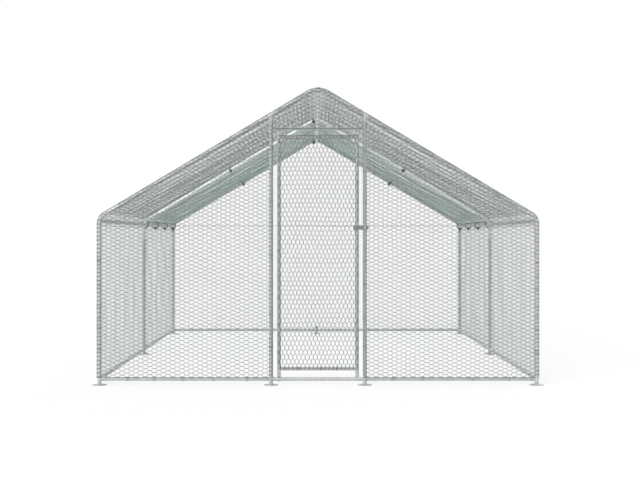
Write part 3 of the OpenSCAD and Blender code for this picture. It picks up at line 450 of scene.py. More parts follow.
# Nodes given the lighter copies of the tube zinc, which are painted light: a lift on the shaded rails, legs
# and bends, and painted highlights on the ridge purlins, middle rafters, middle ridge bend and hasp staple
PAINTED_LIGHT_NODES = {
    "painted_light_tube": (
        "left_base_rails", "right_base_rails", "front_left_leg", "front_right_leg",
        "front_eave_bends", "front_corner_bases", "middle_eave_bends",
    ),
    "painted_highlight_tube": (
        "ridge_purlins", "middle_left_rafter", "middle_right_rafter", "middle_ridge_bend", "hasp_staple",
    ),
}
painted_light_copies = {node: finish for finish, names in PAINTED_LIGHT_NODES.items() for node in names}
for part in frame["record"]["subparts"]:
    mesh = nodes[part["node"]].data
    mesh.materials.clear()
    mesh.materials.append(MATERIALS[painted_light_copies.get(part["node"], part["material_slot"])])


# Mesh building from arrays
def joined(pieces):
    """One set of vertices, quads and triangles from several."""
    verts, quads, tris = [], [], []
    shift = 0
    for v, q, t in pieces:
        verts.append(v)
        quads.append(q + shift)
        tris.append(t + shift)
        shift += len(v)
    return np.concatenate(verts), np.concatenate(quads), np.concatenate(tris)


def make(name, verts, quads, tris, slot, body, stands_for=(), flat=None):
    """A mesh piece that rides on a body. flat is each vertex's place on the flat netting, for its map."""
    mesh = bpy.data.meshes.new(name)
    loops = np.concatenate([quads.ravel(), tris.ravel()]).astype(np.int32)
    quad_starts = np.arange(len(quads)) * 4
    tri_starts = len(quads) * 4 + np.arange(len(tris)) * 3
    starts = np.concatenate([quad_starts, tri_starts]).astype(np.int32)
    mesh.vertices.add(len(verts))
    mesh.vertices.foreach_set("co", np.ascontiguousarray(verts, np.float32).ravel())
    mesh.loops.add(len(loops))
    mesh.loops.foreach_set("vertex_index", loops)
    mesh.polygons.add(len(starts))
    mesh.polygons.foreach_set("loop_start", starts)
    mesh.polygons.foreach_set("use_smooth", np.full(len(starts), True))
    if flat is not None:
        low, high = flat.min(0), flat.max(0)
        uv = MAP_MARGIN + (1 - 2 * MAP_MARGIN) * (flat - low) / (high - low).max()
        layer = mesh.uv_layers.new(name="OFBake")
        layer.data.foreach_set("uv", np.ascontiguousarray(uv[loops], np.float32).ravel())
    mesh.update(calc_edges=True)
    mesh.validate()
    mesh.materials.append(MATERIALS[slot])
    piece = bpy.data.objects.new(name, mesh)
    scene.collection.objects.link(piece)
    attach(piece, body)
    if stands_for:
        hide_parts(*stands_for)
    return piece


def rod(points, radius, sides, closed=False):
    """A round wire along points, with its frame carried from point to point."""
    points = np.asarray(points, float)
    step = np.roll(points, -1, 0) - np.roll(points, 1, 0) if closed else np.gradient(points, axis=0)
    tangents = step / np.linalg.norm(step, axis=1)[:, None]
    angles = np.arange(sides) * 2 * math.pi / sides
    side = np.cross(tangents[0], ODD_WAY)
    rings = []
    for point, tangent in zip(points, tangents):
        side = side - tangent * side.dot(tangent)
        side /= np.linalg.norm(side)
        up = np.cross(tangent, side)
        rings.append(point + radius * (np.cos(angles)[:, None] * side + np.sin(angles)[:, None] * up))
    count = len(points) if closed else len(points) - 1
    ring = np.repeat(np.arange(count), sides)
    corner = np.tile(np.arange(sides), count)
    beside = (corner + 1) % sides
    here = ring * sides
    ahead = ((ring + 1) % len(points)) * sides
    quads = np.stack([here + corner, here + beside, ahead + beside, ahead + corner], 1)
    if closed:
        return np.concatenate(rings), quads, NO_TRIANGLES
    end = (len(points) - 1) * sides
    fan = np.arange(1, sides - 1)
    first_cap = np.stack([0 * fan, fan + 1, fan], 1)
    last_cap = np.stack([end + 0 * fan, end + fan, end + fan + 1], 1)
    return np.concatenate(rings), quads, np.concatenate([first_cap, last_cap])


# Hexagonal netting, laid out flat with s along its wires and t across them
def in_outline(outline, windows, s, t):
    """Which points lie inside an outline and outside its windows."""
    inside = np.zeros(s.shape, bool)
    for (s0, t0), (s1, t1) in zip(outline, np.roll(outline, -1, 0)):
        if t0 != t1:
            inside ^= ((t0 > t) != (t1 > t)) & (s < (s1 - s0) * (t - t0) / (t1 - t0) + s0)
    for low_s, low_t, high_s, high_t in windows:
        inside &= ~((s > low_s) & (s < high_s) & (t > low_t) & (t < high_t))
    return inside


def waves(seed, s, t, length):
    """A smooth random field of about unit height."""
    draws = np.random.default_rng(seed)
    total = np.zeros(np.shape(s))
    for _ in range(WAVE_COUNT):
        angle, phase = draws.uniform(0, 2 * math.pi, 2)
        k = 2 * math.pi / (length * draws.uniform(*WAVE_SPREAD))
        total = total + np.sin(k * (math.cos(angle) * s + math.sin(angle) * t) + phase)
    return total / WAVE_HEIGHT


def net_lattice(outline, seed, wire, start):
    """Ends of the twists along each wire, over an outline and a little past it, and which are real."""
    draws = np.random.default_rng(seed)
    low, high = outline.min(0) - start, outline.max(0) - start
    cols = np.arange(math.floor(low[0] / COL) - 1, math.ceil(high[0] / COL) + 2)
    first_row = math.floor(2 * low[1] / ROW) - 2
    last_row = math.ceil(2 * high[1] / ROW) + 2
    shake = draws.normal(0, JITTER, (len(cols), last_row - first_row + 1, 2))
    points, known = [], []
    for way in (1, -1):
        reach = [way * cols[0], way * cols[-1]]
        first = first_row + min(reach)
        wires = np.arange(first + first % 2, last_row + max(reach) + 1, 2)
        row = wires[:, None] - way * cols[None, :]
        shaken = shake[np.arange(len(cols)), np.clip(row - first_row, 0, last_row - first_row)]
        mid_s = cols[None, :] * COL + shaken[..., 0] + start[0]
        mid_t = row * ROW / 2 + shaken[..., 1] + start[1]
        ends = np.zeros(row.shape + (2, 3))
        for number, sign in ((0, -1), (1, 1)):
            ends[..., number, 0] = mid_s + sign * TWIST / 2
            ends[..., number, 1] = mid_t - sign * way * 0.5 * wire
            ends[..., number, 2] = way * wire
        points.append(ends.reshape(len(wires), -1, 3))
        known.append(np.repeat((row >= first_row) & (row <= last_row), 2, axis=1))
    return np.concatenate(points), np.concatenate(known)


def part_round(points, spots):
    """Moves the wires' points aside where a cord passes between them."""
    for s, t in spots:
        off_s, off_t = points[..., 0] - s, points[..., 1] - t
        far = np.hypot(off_s, off_t) + TINY
        push = (CORD_R + PART_GAP) ** 2 * (1 - np.minimum(far / PART_REACH, 1))
        grown = np.where(far < PART_REACH, np.sqrt(far * far + push) / far, 1)
        points[..., 0] = s + off_s * grown
        points[..., 1] = t + off_t * grown


def cut_at_edge(near, far, outline, windows):
    """Where wires that run from near, inside an outline, to far, outside it, meet its edge."""
    low, high = np.zeros(len(near)), np.ones(len(near))
    for _ in range(CUT_STEPS):
        share = (low + high) / 2
        at = near + (far - near) * share[:, None]
        inside = in_outline(outline, windows, at[:, 0], at[:, 1])
        low, high = np.where(inside, share, low), np.where(inside, high, share)
    return near + (far - near) * np.maximum(low, SHORTEST_END)[:, None]


def wire_mesh(centres, tangents, links, caps, radius):
    """Three-sided wires: rings round the centres, joined by links, with a cap on every cut end."""
    tangents = tangents / np.linalg.norm(tangents, axis=1)[:, None]
    side = np.stack([-tangents[:, 1], tangents[:, 0], 0 * tangents[:, 0]], 1)
    side /= np.linalg.norm(side, axis=1)[:, None]
    up = np.cross(tangents, side)
    turn = np.arange(3) * 2 * math.pi / 3 + math.pi / 2
    verts = centres[:, None, :] + radius * (
        np.cos(turn)[None, :, None] * side[:, None, :] + np.sin(turn)[None, :, None] * up[:, None, :]
    )
    here, ahead = links[:, 0] * 3, links[:, 1] * 3
    quads = []
    for corner, beside in ((0, 1), (1, 2), (2, 0)):
        quads.append(np.stack([here + corner, here + beside, ahead + beside, ahead + corner], 1))
    tris = []
    for ends, leaving in caps:
        corners = (0, 1, 2) if leaving else (0, 2, 1)
        tris.append(np.stack([ends * 3 + corner for corner in corners], 1))
    return verts.reshape(-1, 3), np.concatenate(quads), np.concatenate(tris)


def hex_net(outline, windows, seed, wire, start=(0.0, 0.0), spots=()):
    """Twisted netting over a flat outline: two sets of wires that wind round each other at every twist."""
    points, known = net_lattice(outline, seed, wire, start)
    for axis in (0, 1):
        warp_seed = seed * WARP_SEEDS + axis
        points[..., axis] += WARP * waves(warp_seed, points[..., 0], points[..., 1], WARP_LENGTH)
    part_round(points, spots)
    inside = in_outline(outline, windows, points[..., 0], points[..., 1]) & known
    here, ahead = inside[:, :-1], inside[:, 1:]
    count = inside.sum()
    ring = np.full(inside.shape, -1)
    ring[inside] = np.arange(count)
    centres = [points[inside]]
    tangents = [np.gradient(points, axis=1)[inside]]
    wires, place = np.nonzero(here & ahead)
    links = [np.stack([ring[wires, place], ring[wires, place + 1]], 1)]
    caps = []
    for leaving in (True, False):
        wires, place = np.nonzero(here & ~ahead if leaving else ~here & ahead)
        keep, lose = (place, place + 1) if leaving else (place + 1, place)
        centres.append(cut_at_edge(points[wires, keep], points[wires, lose], outline, windows))
        tangents.append(points[wires, place + 1] - points[wires, place])
        ends = count + np.arange(len(wires))
        count += len(wires)
        kept = ring[wires, keep]
        links.append(np.stack([kept, ends] if leaving else [ends, kept], 1))
        caps.append((ends, leaving))
    return wire_mesh(np.concatenate(centres), np.concatenate(tangents), np.concatenate(links), caps, wire)


def edge_line(line):
    """Evenly spaced points along a line on the flat netting."""
    points = [line[:1]]
    for a, b in zip(line[:-1], line[1:]):
        count = max(1, int(np.linalg.norm(b - a) / EDGE_STEP))
        points.append(a + (b - a) * (np.arange(1, count + 1) / count)[:, None])
    points = np.concatenate(points)
    return np.column_stack([points, np.zeros(len(points))])


def selvage(outline, inset):
    """A closed edge wire along an outline, drawn in by a share of its size."""
    middle = outline.mean(0)
    line = np.concatenate([outline, outline[:1]])
    line = middle + (line - middle) * (1 - inset)
    return rod(edge_line(line)[:-1], SELVAGE, EDGE_SIDES, closed=True)


def edge_roll(start, end):
    """A roll of netting along one straight edge."""
    return rod(edge_line(np.array([start, end], float)), ROLL_EDGE, EDGE_SIDES)


def netting(name, body, node, layers, lines, place, bulge):
    """A netting piece from lattices and edge wires laid out flat, then bulged and put in place."""
    verts, quads, tris = joined(layers + lines)
    s, t, n = verts.T
    make(name, place(s, t, n + bulge(s, t)), quads, tris, "netting_wire", body, (node,), verts[:, :2])


def rectangle(low_s, low_t, high_s, high_t):
    """Corners of a flat panel."""
    return np.array([[low_s, low_t], [high_s, low_t], [high_s, high_t], [low_s, high_t]])


def mirrored(window):
    """The same window on the other side of the middle."""
    low_s, low_t, high_s, high_t = window
    return (-high_s, low_t, -low_s, high_t)


def eased(d, width):
    """From nought at a tube to one further than width away from it."""
    k = np.clip(d / width, 0, 1)
    return k * k * (3 - 2 * k)


def wall_bulge(seed, size, free):
    """A wall's bulge, which dies away where free says that a tube is near."""
    def field(s, t):
        return size * waves(seed, s, t, BULGE_LENGTH) * free(s, t)
    return field


# Outer edges of a portal frame
def rafter_z(x):
    """Height of the rafters' centre line."""
    return EAVE_Z + (LEG_X - np.abs(x)) * math.tan(SLOPE)


def top_edge(x):
    """Height of the rafters' upper edge."""
    return rafter_z(x) + TUBE_R / math.cos(SLOPE)


def arc(x, z, radius, angles):
    """Points on an arc round a middle in the plane of the frame."""
    return np.column_stack([x + radius * np.cos(angles), z + radius * np.sin(angles)])


eave_edge = arc(BEND_X, BEND_Z, EAVE_R + TUBE_R, np.linspace(0, TURN, num=10))
ridge_edge = arc(0, RIDGE_MID_Z, RIDGE_R + TUBE_R, math.pi / 2 - np.linspace(SLOPE, -SLOPE, num=12))


# Front netting, on both sides of the doorway and over it
def front_place(s, t, n):
    """Places on the front, s to the right and t up."""
    return np.column_stack([s, -HALF_DEPTH - FRONT_NET_OFF - n, t])


def front_free(s, t):
    """How free the front netting is of its tubes."""
    x = np.abs(s)
    d = np.minimum.reduce([np.abs(x - JAMB_X), np.abs(LEG_X - x), t - RAIL_Z, rafter_z(s) - t])
    return eased(d, WALL_EASE)


def gable_free(s, t):
    """How free the gable's netting is of its tubes."""
    return eased(np.minimum(t - HEADER_Z, rafter_z(s) - t), GABLE_EASE)


half_wall = np.concatenate([
    [[JAMB_IN, FRONT_NET_LOW], [NET_X, FRONT_NET_LOW]], eave_edge, [[JAMB_IN, top_edge(JAMB_IN)]],
])
for name, way, windows, seed in (
    ("front_left_net", -1, [mirrored(CLAMP_WINDOW)], 11),
    ("front_right_net", 1, [CLAMP_WINDOW, STAPLE_WINDOW], 12),
):
    outline = half_wall * [way, 1]
    net = hex_net(outline, windows, seed, FRONT_WIRE, start=(0.007 * seed, 0.004))
    netting(
        name + "ting", "frame", name, [net], [selvage(outline, FRONT_INSET)],
        front_place, wall_bulge(seed, WALL_BULGE, front_free),
    )

gable = np.concatenate([
    [[-GABLE_X, GABLE_LOW], [GABLE_X, GABLE_LOW], [GABLE_X, top_edge(GABLE_X)]],
    ridge_edge, [[-GABLE_X, top_edge(GABLE_X)]],
])
netting(
    "front_gable_netting", "frame", "front_gable_net",
    [hex_net(gable, [CLAMP_WINDOW, mirrored(CLAMP_WINDOW)], GABLE_SEED, GABLE_WIRE)],
    [selvage(gable, GABLE_INSET), edge_roll((-GABLE_X, HEADER_Z), (GABLE_X, HEADER_Z))],
    front_place, wall_bulge(GABLE_SEED, GABLE_BULGE, gable_free),
)


# Places of the elastic loops
def loop_places(off):
    """Depth and length along the right roof side where the loops pass through it at height off."""
    found = []
    reach = math.acos((EAVE_R ** 2 + (EAVE_R + off) ** 2 - LOOP_R ** 2) / (2 * EAVE_R * (EAVE_R + off)))
    for y in LOOP_YS:
        for sign in (-1, 1):
            found.append((y, (PURLIN_TURN + sign * reach) * EAVE_R))
    side = math.sqrt(LOOP_R ** 2 - off ** 2)
    top = ARC_EAVE + STRAIGHT + (SLOPE - RIDGE_LOOP_TURN) * RIDGE_R
    for y, share, _ in RAFTER_LOOPS:
        half_way = ARC_EAVE + SLOPE_LEN * share - EAVE_TAN
        for sign in (-1, 1):
            found += [(y + sign * side, half_way), (y + sign * side, top)]
    return found


def rafter_loops():
    """Middle, tube direction, upward normal and ball's turn of each loop on a rafter or a ridge bend."""
    found = []
    for y, share, turn in RAFTER_LOOPS:
        x = LEG_X - SLOPE_LEN * share * math.cos(SLOPE)
        z = EAVE_Z + SLOPE_LEN * share * math.sin(SLOPE)
        spots = [(side * x, z, side * SLOPE) for side in (-1, 1)]
        lean = -RIDGE_LOOP_TURN
        spots.append((RIDGE_R * math.sin(lean), RIDGE_MID_Z + RIDGE_R * math.cos(lean), lean))
        for x, z, lean in spots:
            along = np.array([math.cos(lean), 0, -math.sin(lean)])
            normal = np.array([math.sin(lean), 0, math.cos(lean)])
            found.append((np.array([x, y, z]), along, normal, turn))
    return found


# Back netting: its upper roll overlaps the lower one at the eaves, and parts where loops pass through it
def back_place(s, t, n):
    """Places on the back, s to the right and t up."""
    return np.column_stack([-s, HALF_DEPTH + NET_OFF + n, t])


def back_free(s, t):
    """How free the back netting is of its tubes."""
    return eased(np.minimum.reduce([LEG_X - np.abs(s), t - RAIL_Z, rafter_z(s) - t]), WALL_EASE)


upper = eave_edge[eave_edge[:, 1] > BACK_SEAM - SEAM_LAP]
lower = eave_edge[eave_edge[:, 1] < BACK_SEAM + SEAM_LAP]
back_upper = np.concatenate([upper, ridge_edge, upper[::-1] * [-1, 1]])
back_lower = np.concatenate([[[-NET_X, NET_LOW], [NET_X, NET_LOW]], lower, lower[::-1] * [-1, 1]])
below = math.sqrt(LOOP_R ** 2 - NET_OFF ** 2)
passed = [middle - below * normal for middle, _, normal, _ in rafter_loops() if middle[1] == HALF_DEPTH]
passed = [(-x, z) for x, _, z in passed]
netting(
    "back_netting", "frame", "back_net",
    [
        hex_net(back_lower, [], BACK_LOW_SEED, SIDE_WIRE),
        hex_net(back_upper, [], BACK_TOP_SEED, SIDE_WIRE, start=(0.011, 0.009), spots=passed),
    ],
    [selvage(back_lower, BACK_INSET), selvage(back_upper, BACK_INSET)],
    back_place, wall_bulge(BACK_LOW_SEED, WALL_BULGE, back_free),
)


# Side netting
def side_place(way):
    """Places on a side, s along the run and t up."""
    def place(s, t, n):
        return np.column_stack([way * (LEG_X + NET_OFF + n), way * s, t])
    return place


def side_free(s, t):
    """How free a side's netting is of its tubes."""
    d = np.minimum.reduce([np.abs(s), HALF_DEPTH - np.abs(s), t - RAIL_Z, PURLIN_Z - t])
    return eased(d, WALL_EASE)


side_wall = rectangle(-NET_Y, NET_LOW, NET_Y, SIDE_TOP)
for name, way, seed in (("left_side_net", -1, 16), ("right_side_net", 1, 17)):
    net = hex_net(side_wall, [], seed, SIDE_WIRE, start=(0.003 * seed, 0.002))
    netting(
        name + "ting", "frame", name, [net], [selvage(side_wall, SIDE_INSET)],
        side_place(way), wall_bulge(seed, WALL_BULGE, side_free),
    )


# Roof netting: rolls about a metre wide from eave to ridge, two to a bay, overlapping at their edges
def roof_sag(y, t):
    """Height of the netting and of the sheet on it over their flat place, at depth y and length t."""
    d = np.minimum.reduce([np.abs(y), HALF_DEPTH - np.abs(y), t - ARC_EAVE, ROOF_LEN - ARC_RIDGE - t])
    sag = SAG * eased(d, SAG_EASE) * (1 + SAG_CHANGE * waves(SAG_SEED, y, t, SAG_LENGTH))
    ripple = RIPPLE + REAR_RIPPLE * (np.asarray(y) > 0)
    return -sag + ripple * waves(RIPPLE_SEED, y, RIPPLE_STRETCH * t, RIPPLE_LENGTH) * eased(d, RIPPLE_EASE)


def roof_place(way):
    """Places on a roof side, s up the slope and t along the run."""
    def place(s, t, n):
        x, z = roof_line(s, NET_OFF + n)
        return np.column_stack([way * x, -way * t, z])
    return place


def roof_bulge(way):
    """The sag of a roof side on its flat netting."""
    def field(s, t):
        return roof_sag(-way * t, s)
    return field


ROOF_BAYS = {
    "front": (FRONT_ROOF_WIRE, ((-NET_Y, ROLL_LAP - MID_BAY), (-MID_BAY - ROLL_LAP, ROLL_LAP))),
    "rear": (REAR_ROOF_WIRE, ((-ROLL_LAP, MID_BAY + ROLL_LAP), (MID_BAY - ROLL_LAP, NET_Y))),
}
for name, way, seed in (("left_roof", -1, 18), ("right_roof", 1, 19)):
    clamp = ARC_EAVE + CLAMP_FAR - EAVE_TAN
    front = sorted((way * (HALF_DEPTH - ROOF_CLAMP_IN), way * (NET_Y + ROOF_CLAMP_OUT)))
    window = (clamp - CLAMP_HALF, front[0], clamp + CLAMP_HALF, front[1])
    spots = [(run, -way * y) for y, run in loop_places(NET_OFF)]
    roll_seed = seed
    for bay, (wire, rolls) in ROOF_BAYS.items():
        layers, lines = [], []
        for roll in rolls:
            low, high = sorted(-way * y for y in roll)
            outline = rectangle(ROOF_LOW, low, ROOF_LEN, high)
            start = (0.002 * seed, 0.005 + 0.007 * roll[0])
            layers.append(hex_net(outline, [window], roll_seed, wire, start, spots))
            lines.append(selvage(outline, ROOF_INSET))
            roll_seed += ROLL_SEEDS
        netting(
            f"{name}_{bay}_netting", "frame", name + "_net", layers, lines, roof_place(way), roof_bulge(way)
        )


# Door netting, its twists upright
def door_place(s, t, n):
    """Places on the door, s up and t to the left."""
    return np.column_stack([-t, -HALF_DEPTH - DOOR_NET_OFF - n, s])


def door_free(s, t):
    """How free the door's netting is of its tubes."""
    return eased(np.minimum.reduce([DOOR_X - np.abs(t), s - DOOR_LOW_Z, DOOR_TOP_Z - s]), DOOR_EASE)


door_flat = rectangle(DOOR_NET_LOW, -DOOR_NET_X, DOOR_NET_TOP, DOOR_NET_X)
netting(
    "door_netting", "door", "door_net",
    [hex_net(door_flat, [HASP_WINDOW], DOOR_SEED, DOOR_WIRE, start=(0.004, 0.006))],
    [selvage(door_flat, DOOR_INSET), edge_roll((DOOR_ROLL_Z, -DOOR_X), (DOOR_ROLL_Z, DOOR_X))],
    door_place, wall_bulge(DOOR_SEED, DOOR_BULGE, door_free),
)


# Wire ties that bind the netting to the tubes: the size of one, its scatter and where runs of them end
TIE_WIRE = 0.0007
TIE_TURNS = 2.3
TIE_POINTS = 30
TIE_HALF = 0.0030
TIE_OVER_NET = 0.0020
TIE_BEHIND = 0.0008
TIE_BESIDE = 0.0014
TIE_TAIL = 0.004
TIE_TAIL_LIFT = 0.002
TIE_STRAY = 0.16
TIE_STARTS = (2.2, 4.0)
TIE_SEED = 5
LEG_TIES = (0.15, 0.97)
LEG_SIDE_TIES = (0.17, 0.95)
RAFTER_TIES = (0.2, SLOPE_LEN - 0.22)
FRONT_RAIL_TIES = (0.42, 1.38)
BACK_RAIL_TIES = (0.12, 1.38)
SIDE_RAIL_TIES = (0.12, 1.88)
PURLIN_TIES = (-1.85, -0.12)
HEADER_TIES = (-0.24, 0.24)
DOOR_RAIL_TIES = (-0.22, 0.22)
# Runs below and above the latch, with how many ties each has
JAMB_TIES = (((0.15, 0.98), 4), ((1.18, 1.72), 3))
STILE_TIES = (((0.17, 1.0), 5), ((1.15, 1.64), 3))


def tie(middle, axis, out, tube_r, net_off, turn):
    """A few turns of wire round a tube and the netting on it, with the end bent over."""
    out = np.asarray(out, float)
    across = np.cross(axis, out)
    outer = net_off + TIE_OVER_NET
    inner = tube_r + TIE_BEHIND
    reach = (outer + inner) / 2
    shift = (outer - inner) / 2
    angles = np.linspace(0, TIE_TURNS * 2 * math.pi, TIE_POINTS) + turn
    along = np.linspace(-TIE_HALF, TIE_HALF, TIE_POINTS)
    beside = tube_r + TIE_BESIDE
    ring = reach * np.cos(angles)[:, None] * out + beside * np.sin(angles)[:, None] * across
    points = middle + shift * out + ring + along[:, None] * axis
    bent = TIE_TAIL * across * math.cos(turn) + TIE_TAIL_LIFT * ring[-1] / reach + TIE_TAIL * axis
    return rod(np.concatenate([points, [points[-1] + bent]]), TIE_WIRE, EDGE_SIDES)


def tied(target, ends, out, tube_r, count, net_off=None):
    """Ties spread along a tube between two ends."""
    net_off = net_off or (FRONT_NET_OFF if out[1] < 0 else NET_OFF)
    start, end = np.asarray(ends, float)
    axis = (end - start) / np.linalg.norm(end - start)
    for number in range(count):
        share = (number + 0.5 + tie_draws.uniform(-TIE_STRAY, TIE_STRAY)) / count
        turn = tie_draws.uniform(*TIE_STARTS)
        target.append(tie(start + (end - start) * share, axis, out, tube_r, net_off, turn))


def upright(x, y, span):
    """Ends of a run of ties on an upright tube."""
    return [(x, y, z) for z in span]


tie_draws = np.random.default_rng(TIE_SEED)
ties, door_ties = [], []
for side in (-1, 1):
    leg_x = side * LEG_X
    outward = (side, 0, 0)
    for y, out in ((-HALF_DEPTH, FORWARD), (HALF_DEPTH, BACKWARD)):
        tied(ties, upright(leg_x, y, LEG_TIES), out, TUBE_R, count=5)
        tied(ties, upright(leg_x, y, LEG_SIDE_TIES), outward, TUBE_R, count=4)
        xs = [side * (LEG_X - d * math.cos(SLOPE)) for d in RAFTER_TIES]
        zs = [EAVE_Z + d * math.sin(SLOPE) for d in RAFTER_TIES]
        tied(ties, [(x, y, z) for x, z in zip(xs, zs)], out, TUBE_R, count=7)
    tied(ties, upright(leg_x, 0, LEG_TIES), outward, TUBE_R, count=5)
    for span, count in JAMB_TIES:
        tied(ties, upright(side * JAMB_X, -HALF_DEPTH, span), FORWARD, TUBE_R, count)
    tied(ties, [(side * d, -HALF_DEPTH, RAIL_Z) for d in FRONT_RAIL_TIES], FORWARD, RAIL_R, count=5)
    tied(ties, [(side * d, HALF_DEPTH, RAIL_Z) for d in BACK_RAIL_TIES], BACKWARD, RAIL_R, count=6)
    for bay in (-1, 1):
        tied(ties, [(leg_x, bay * d, RAIL_Z) for d in SIDE_RAIL_TIES], outward, RAIL_R, count=8)
    out = np.array([side * math.cos(PURLIN_TURN), 0, math.sin(PURLIN_TURN)])
    tied(ties, [(side * PURLIN_X, y, PURLIN_Z) for y in PURLIN_TIES], out, RAIL_R, count=9)
    for span, count in STILE_TIES:
        tied(door_ties, upright(side * DOOR_X, -HALF_DEPTH, span), FORWARD, RAIL_R, count, DOOR_NET_OFF)
tied(ties, [(0, y, RIDGE_PURLIN_Z) for y in PURLIN_TIES], UPWARD, RAIL_R, count=5)
tied(ties, [(x, -HALF_DEPTH, HEADER_Z) for x in HEADER_TIES], FORWARD, RAIL_R, count=3)
for z in (DOOR_LOW_Z, DOOR_TOP_Z):
    ends = [(x, -HALF_DEPTH, z) for x in DOOR_RAIL_TIES]
    tied(door_ties, ends, FORWARD, RAIL_R, count=3, net_off=DOOR_NET_OFF)
make("frame_wire_ties", *joined(ties), "netting_wire", "frame")
make("door_wire_ties", *joined(door_ties), "netting_wire", "door")


# Roof sheet, from eave to eave over the ridge, with creases and doubled hems
SHEET_T = 0.0005
SHEET_HALF = ROOF_LEN - EAVE_R * COVER_EDGE
HEM_RISE = 0.0007
GRID_STEP = 0.001
CREASE = 0.0012
CREASE_STRETCH = (6, 0.7)
CREASE_LENGTH = 0.9
CREASE_EASE = 0.3
CREASE_SEED = 31
EYELET_R = 0.0072
EYELET_DEPTH = 0.02


def cover_point(v, y, n):
    """Point at signed length v from the ridge along the roof's centre line, at depth y and height n."""
    x, z = roof_line(ROOF_LEN - np.abs(v), n)
    return np.column_stack([np.sign(v) * x, y, z])


def sheet_mesh():
    """Vertices and quads of the sheet: its two faces, further apart at the hems, and its rim."""
    ys = np.unique(np.concatenate([
        np.linspace(0, HEM, num=3), [HEM + GRID_STEP],
        np.linspace(2 * HEM, HALF_DEPTH - 2 * HEM, num=64),
        [HALF_DEPTH - HEM - GRID_STEP], np.linspace(HALF_DEPTH - HEM, HALF_DEPTH, num=3),
    ]))
    vs = np.unique(np.concatenate([
        np.linspace(SHEET_HALF - HEM, SHEET_HALF, num=4), [SHEET_HALF - HEM - GRID_STEP],
        np.linspace(SHEET_HALF - ARC_EAVE, SHEET_HALF - HEM - 4 * GRID_STEP, num=5),
        np.linspace(ARC_RIDGE, SHEET_HALF - ARC_EAVE, num=56), np.linspace(GRID_STEP, ARC_RIDGE, num=8),
    ]))
    vs = np.concatenate([-vs[::-1], vs])
    v, y = (grid.ravel() for grid in np.meshgrid(vs, ys, indexing="ij"))
    run = ROOF_LEN - np.abs(v)
    from_end = np.minimum(y, HALF_DEPTH - y)
    hem = np.minimum(from_end, SHEET_HALF - np.abs(v)) < HEM + GRID_STEP / 2
    free = eased(np.minimum(from_end, run - ARC_EAVE), CREASE_EASE)
    folds = waves(CREASE_SEED, y * CREASE_STRETCH[0], v * CREASE_STRETCH[1], CREASE_LENGTH)
    base = COVER_OFF + roof_sag(y, run) + CREASE * np.maximum(folds, 0) * free
    under = cover_point(v, y, base - SHEET_T / 2)
    over = cover_point(v, y, base + SHEET_T / 2 + np.where(hem, HEM_RISE, 0))
    count = len(v)
    index = np.arange(count).reshape(len(vs), len(ys))
    cells = np.stack([index[:-1, :-1], index[1:, :-1], index[1:, 1:], index[:-1, 1:]], -1).reshape(-1, 4)
    rim = np.concatenate([index[0, :-1], index[:-1, -1], index[-1, :0:-1], index[:0:-1, 0]])
    ahead = np.roll(rim, -1)
    sides = np.stack([rim, ahead, ahead + count, rim + count], 1)
    return np.concatenate([under, over]), np.concatenate([cells, cells[:, ::-1] + count, sides])


def cut_eyelets(piece):
    """Holes through the sheet inside the eyelet rings."""
    tool = bmesh.new()
    spots = [(side * (ROOF_LEN - t), y) for y, t in loop_places(COVER_OFF) for side in (-1, 1)]
    for v, y in spots:
        if not 0 < y < HALF_DEPTH or abs(v) > SHEET_HALF or 0 < v < ARC_RIDGE:
            continue
        ends = (COVER_OFF - EYELET_DEPTH / 2, COVER_OFF + EYELET_DEPTH / 2)
        low, high = (Vector(cover_point(np.array([v]), np.array([y]), n)[0]) for n in ends)
        turn = (high - low).to_track_quat("Z", "Y").to_matrix().to_4x4()
        bmesh.ops.create_cone(
            tool, cap_ends=True, segments=20, radius1=EYELET_R, radius2=EYELET_R, depth=EYELET_DEPTH,
            matrix=Matrix.Translation((low + high) / 2) @ turn,
        )
    mesh = bpy.data.meshes.new("eyelet_tool")
    tool.to_mesh(mesh)
    tool.free()
    cutter = bpy.data.objects.new("eyelet_tool", mesh)
    scene.collection.objects.link(cutter)
    cut = piece.modifiers.new("eyelets", "BOOLEAN")
    cut.object = cutter
    cut.solver = "EXACT"
    bpy.context.view_layer.update()
    done = bpy.data.meshes.new_from_object(piece.evaluated_get(bpy.context.evaluated_depsgraph_get()))
    piece.modifiers.clear()
    piece.data = done
    bpy.data.objects.remove(cutter)
    bpy.data.meshes.remove(mesh)


cover = make("roof_sheet", *sheet_mesh(), NO_TRIANGLES, "cover_sheet", "frame", ("roof_cover",))
cut_eyelets(cover)


# Elastic loops, each closed by its ball and knotted under it
BALL_GRIP = 0.6
KNOT_GAP = 0.0015
KNOT_R = 0.0030
KNOT_CORD = 0.0021
TAIL_CORD = 0.0016
TAIL_APART = 0.0015
TAIL_DROP = 0.009
TAIL_SPREAD = 0.004


def loop_wires(middle, along, up):
    """One loop round a tube: along is across the loop's plane, up points away from its ball."""
    middle, along, up = np.asarray([middle, along, up], float)
    across = np.cross(up, along)
    gap = 2 * math.asin(BALL_R * BALL_GRIP / (2 * LOOP_R))
    angles = np.linspace(gap, 2 * math.pi - gap, num=44)
    cord = middle - LOOP_R * np.cos(angles)[:, None] * up + LOOP_R * np.sin(angles)[:, None] * across
    knot_mid = middle - (LOOP_R + BALL_R + KNOT_GAP) * up
    angles = np.linspace(0, 2 * math.pi, num=13)[:-1]
    knot = knot_mid + KNOT_R * (np.cos(angles)[:, None] * across + np.sin(angles)[:, None] * along)
    wires = [rod(cord, CORD_R, sides=10), rod(knot, KNOT_CORD, sides=7, closed=True)]
    for sign in (-1, 1):
        share = np.linspace(0, 1, num=5)[:, None]
        hang = share * (-TAIL_DROP * up + TAIL_SPREAD * sign * across)
        wires.append(rod(knot_mid + TAIL_APART * sign * across + hang, TAIL_CORD, sides=6))
    return wires


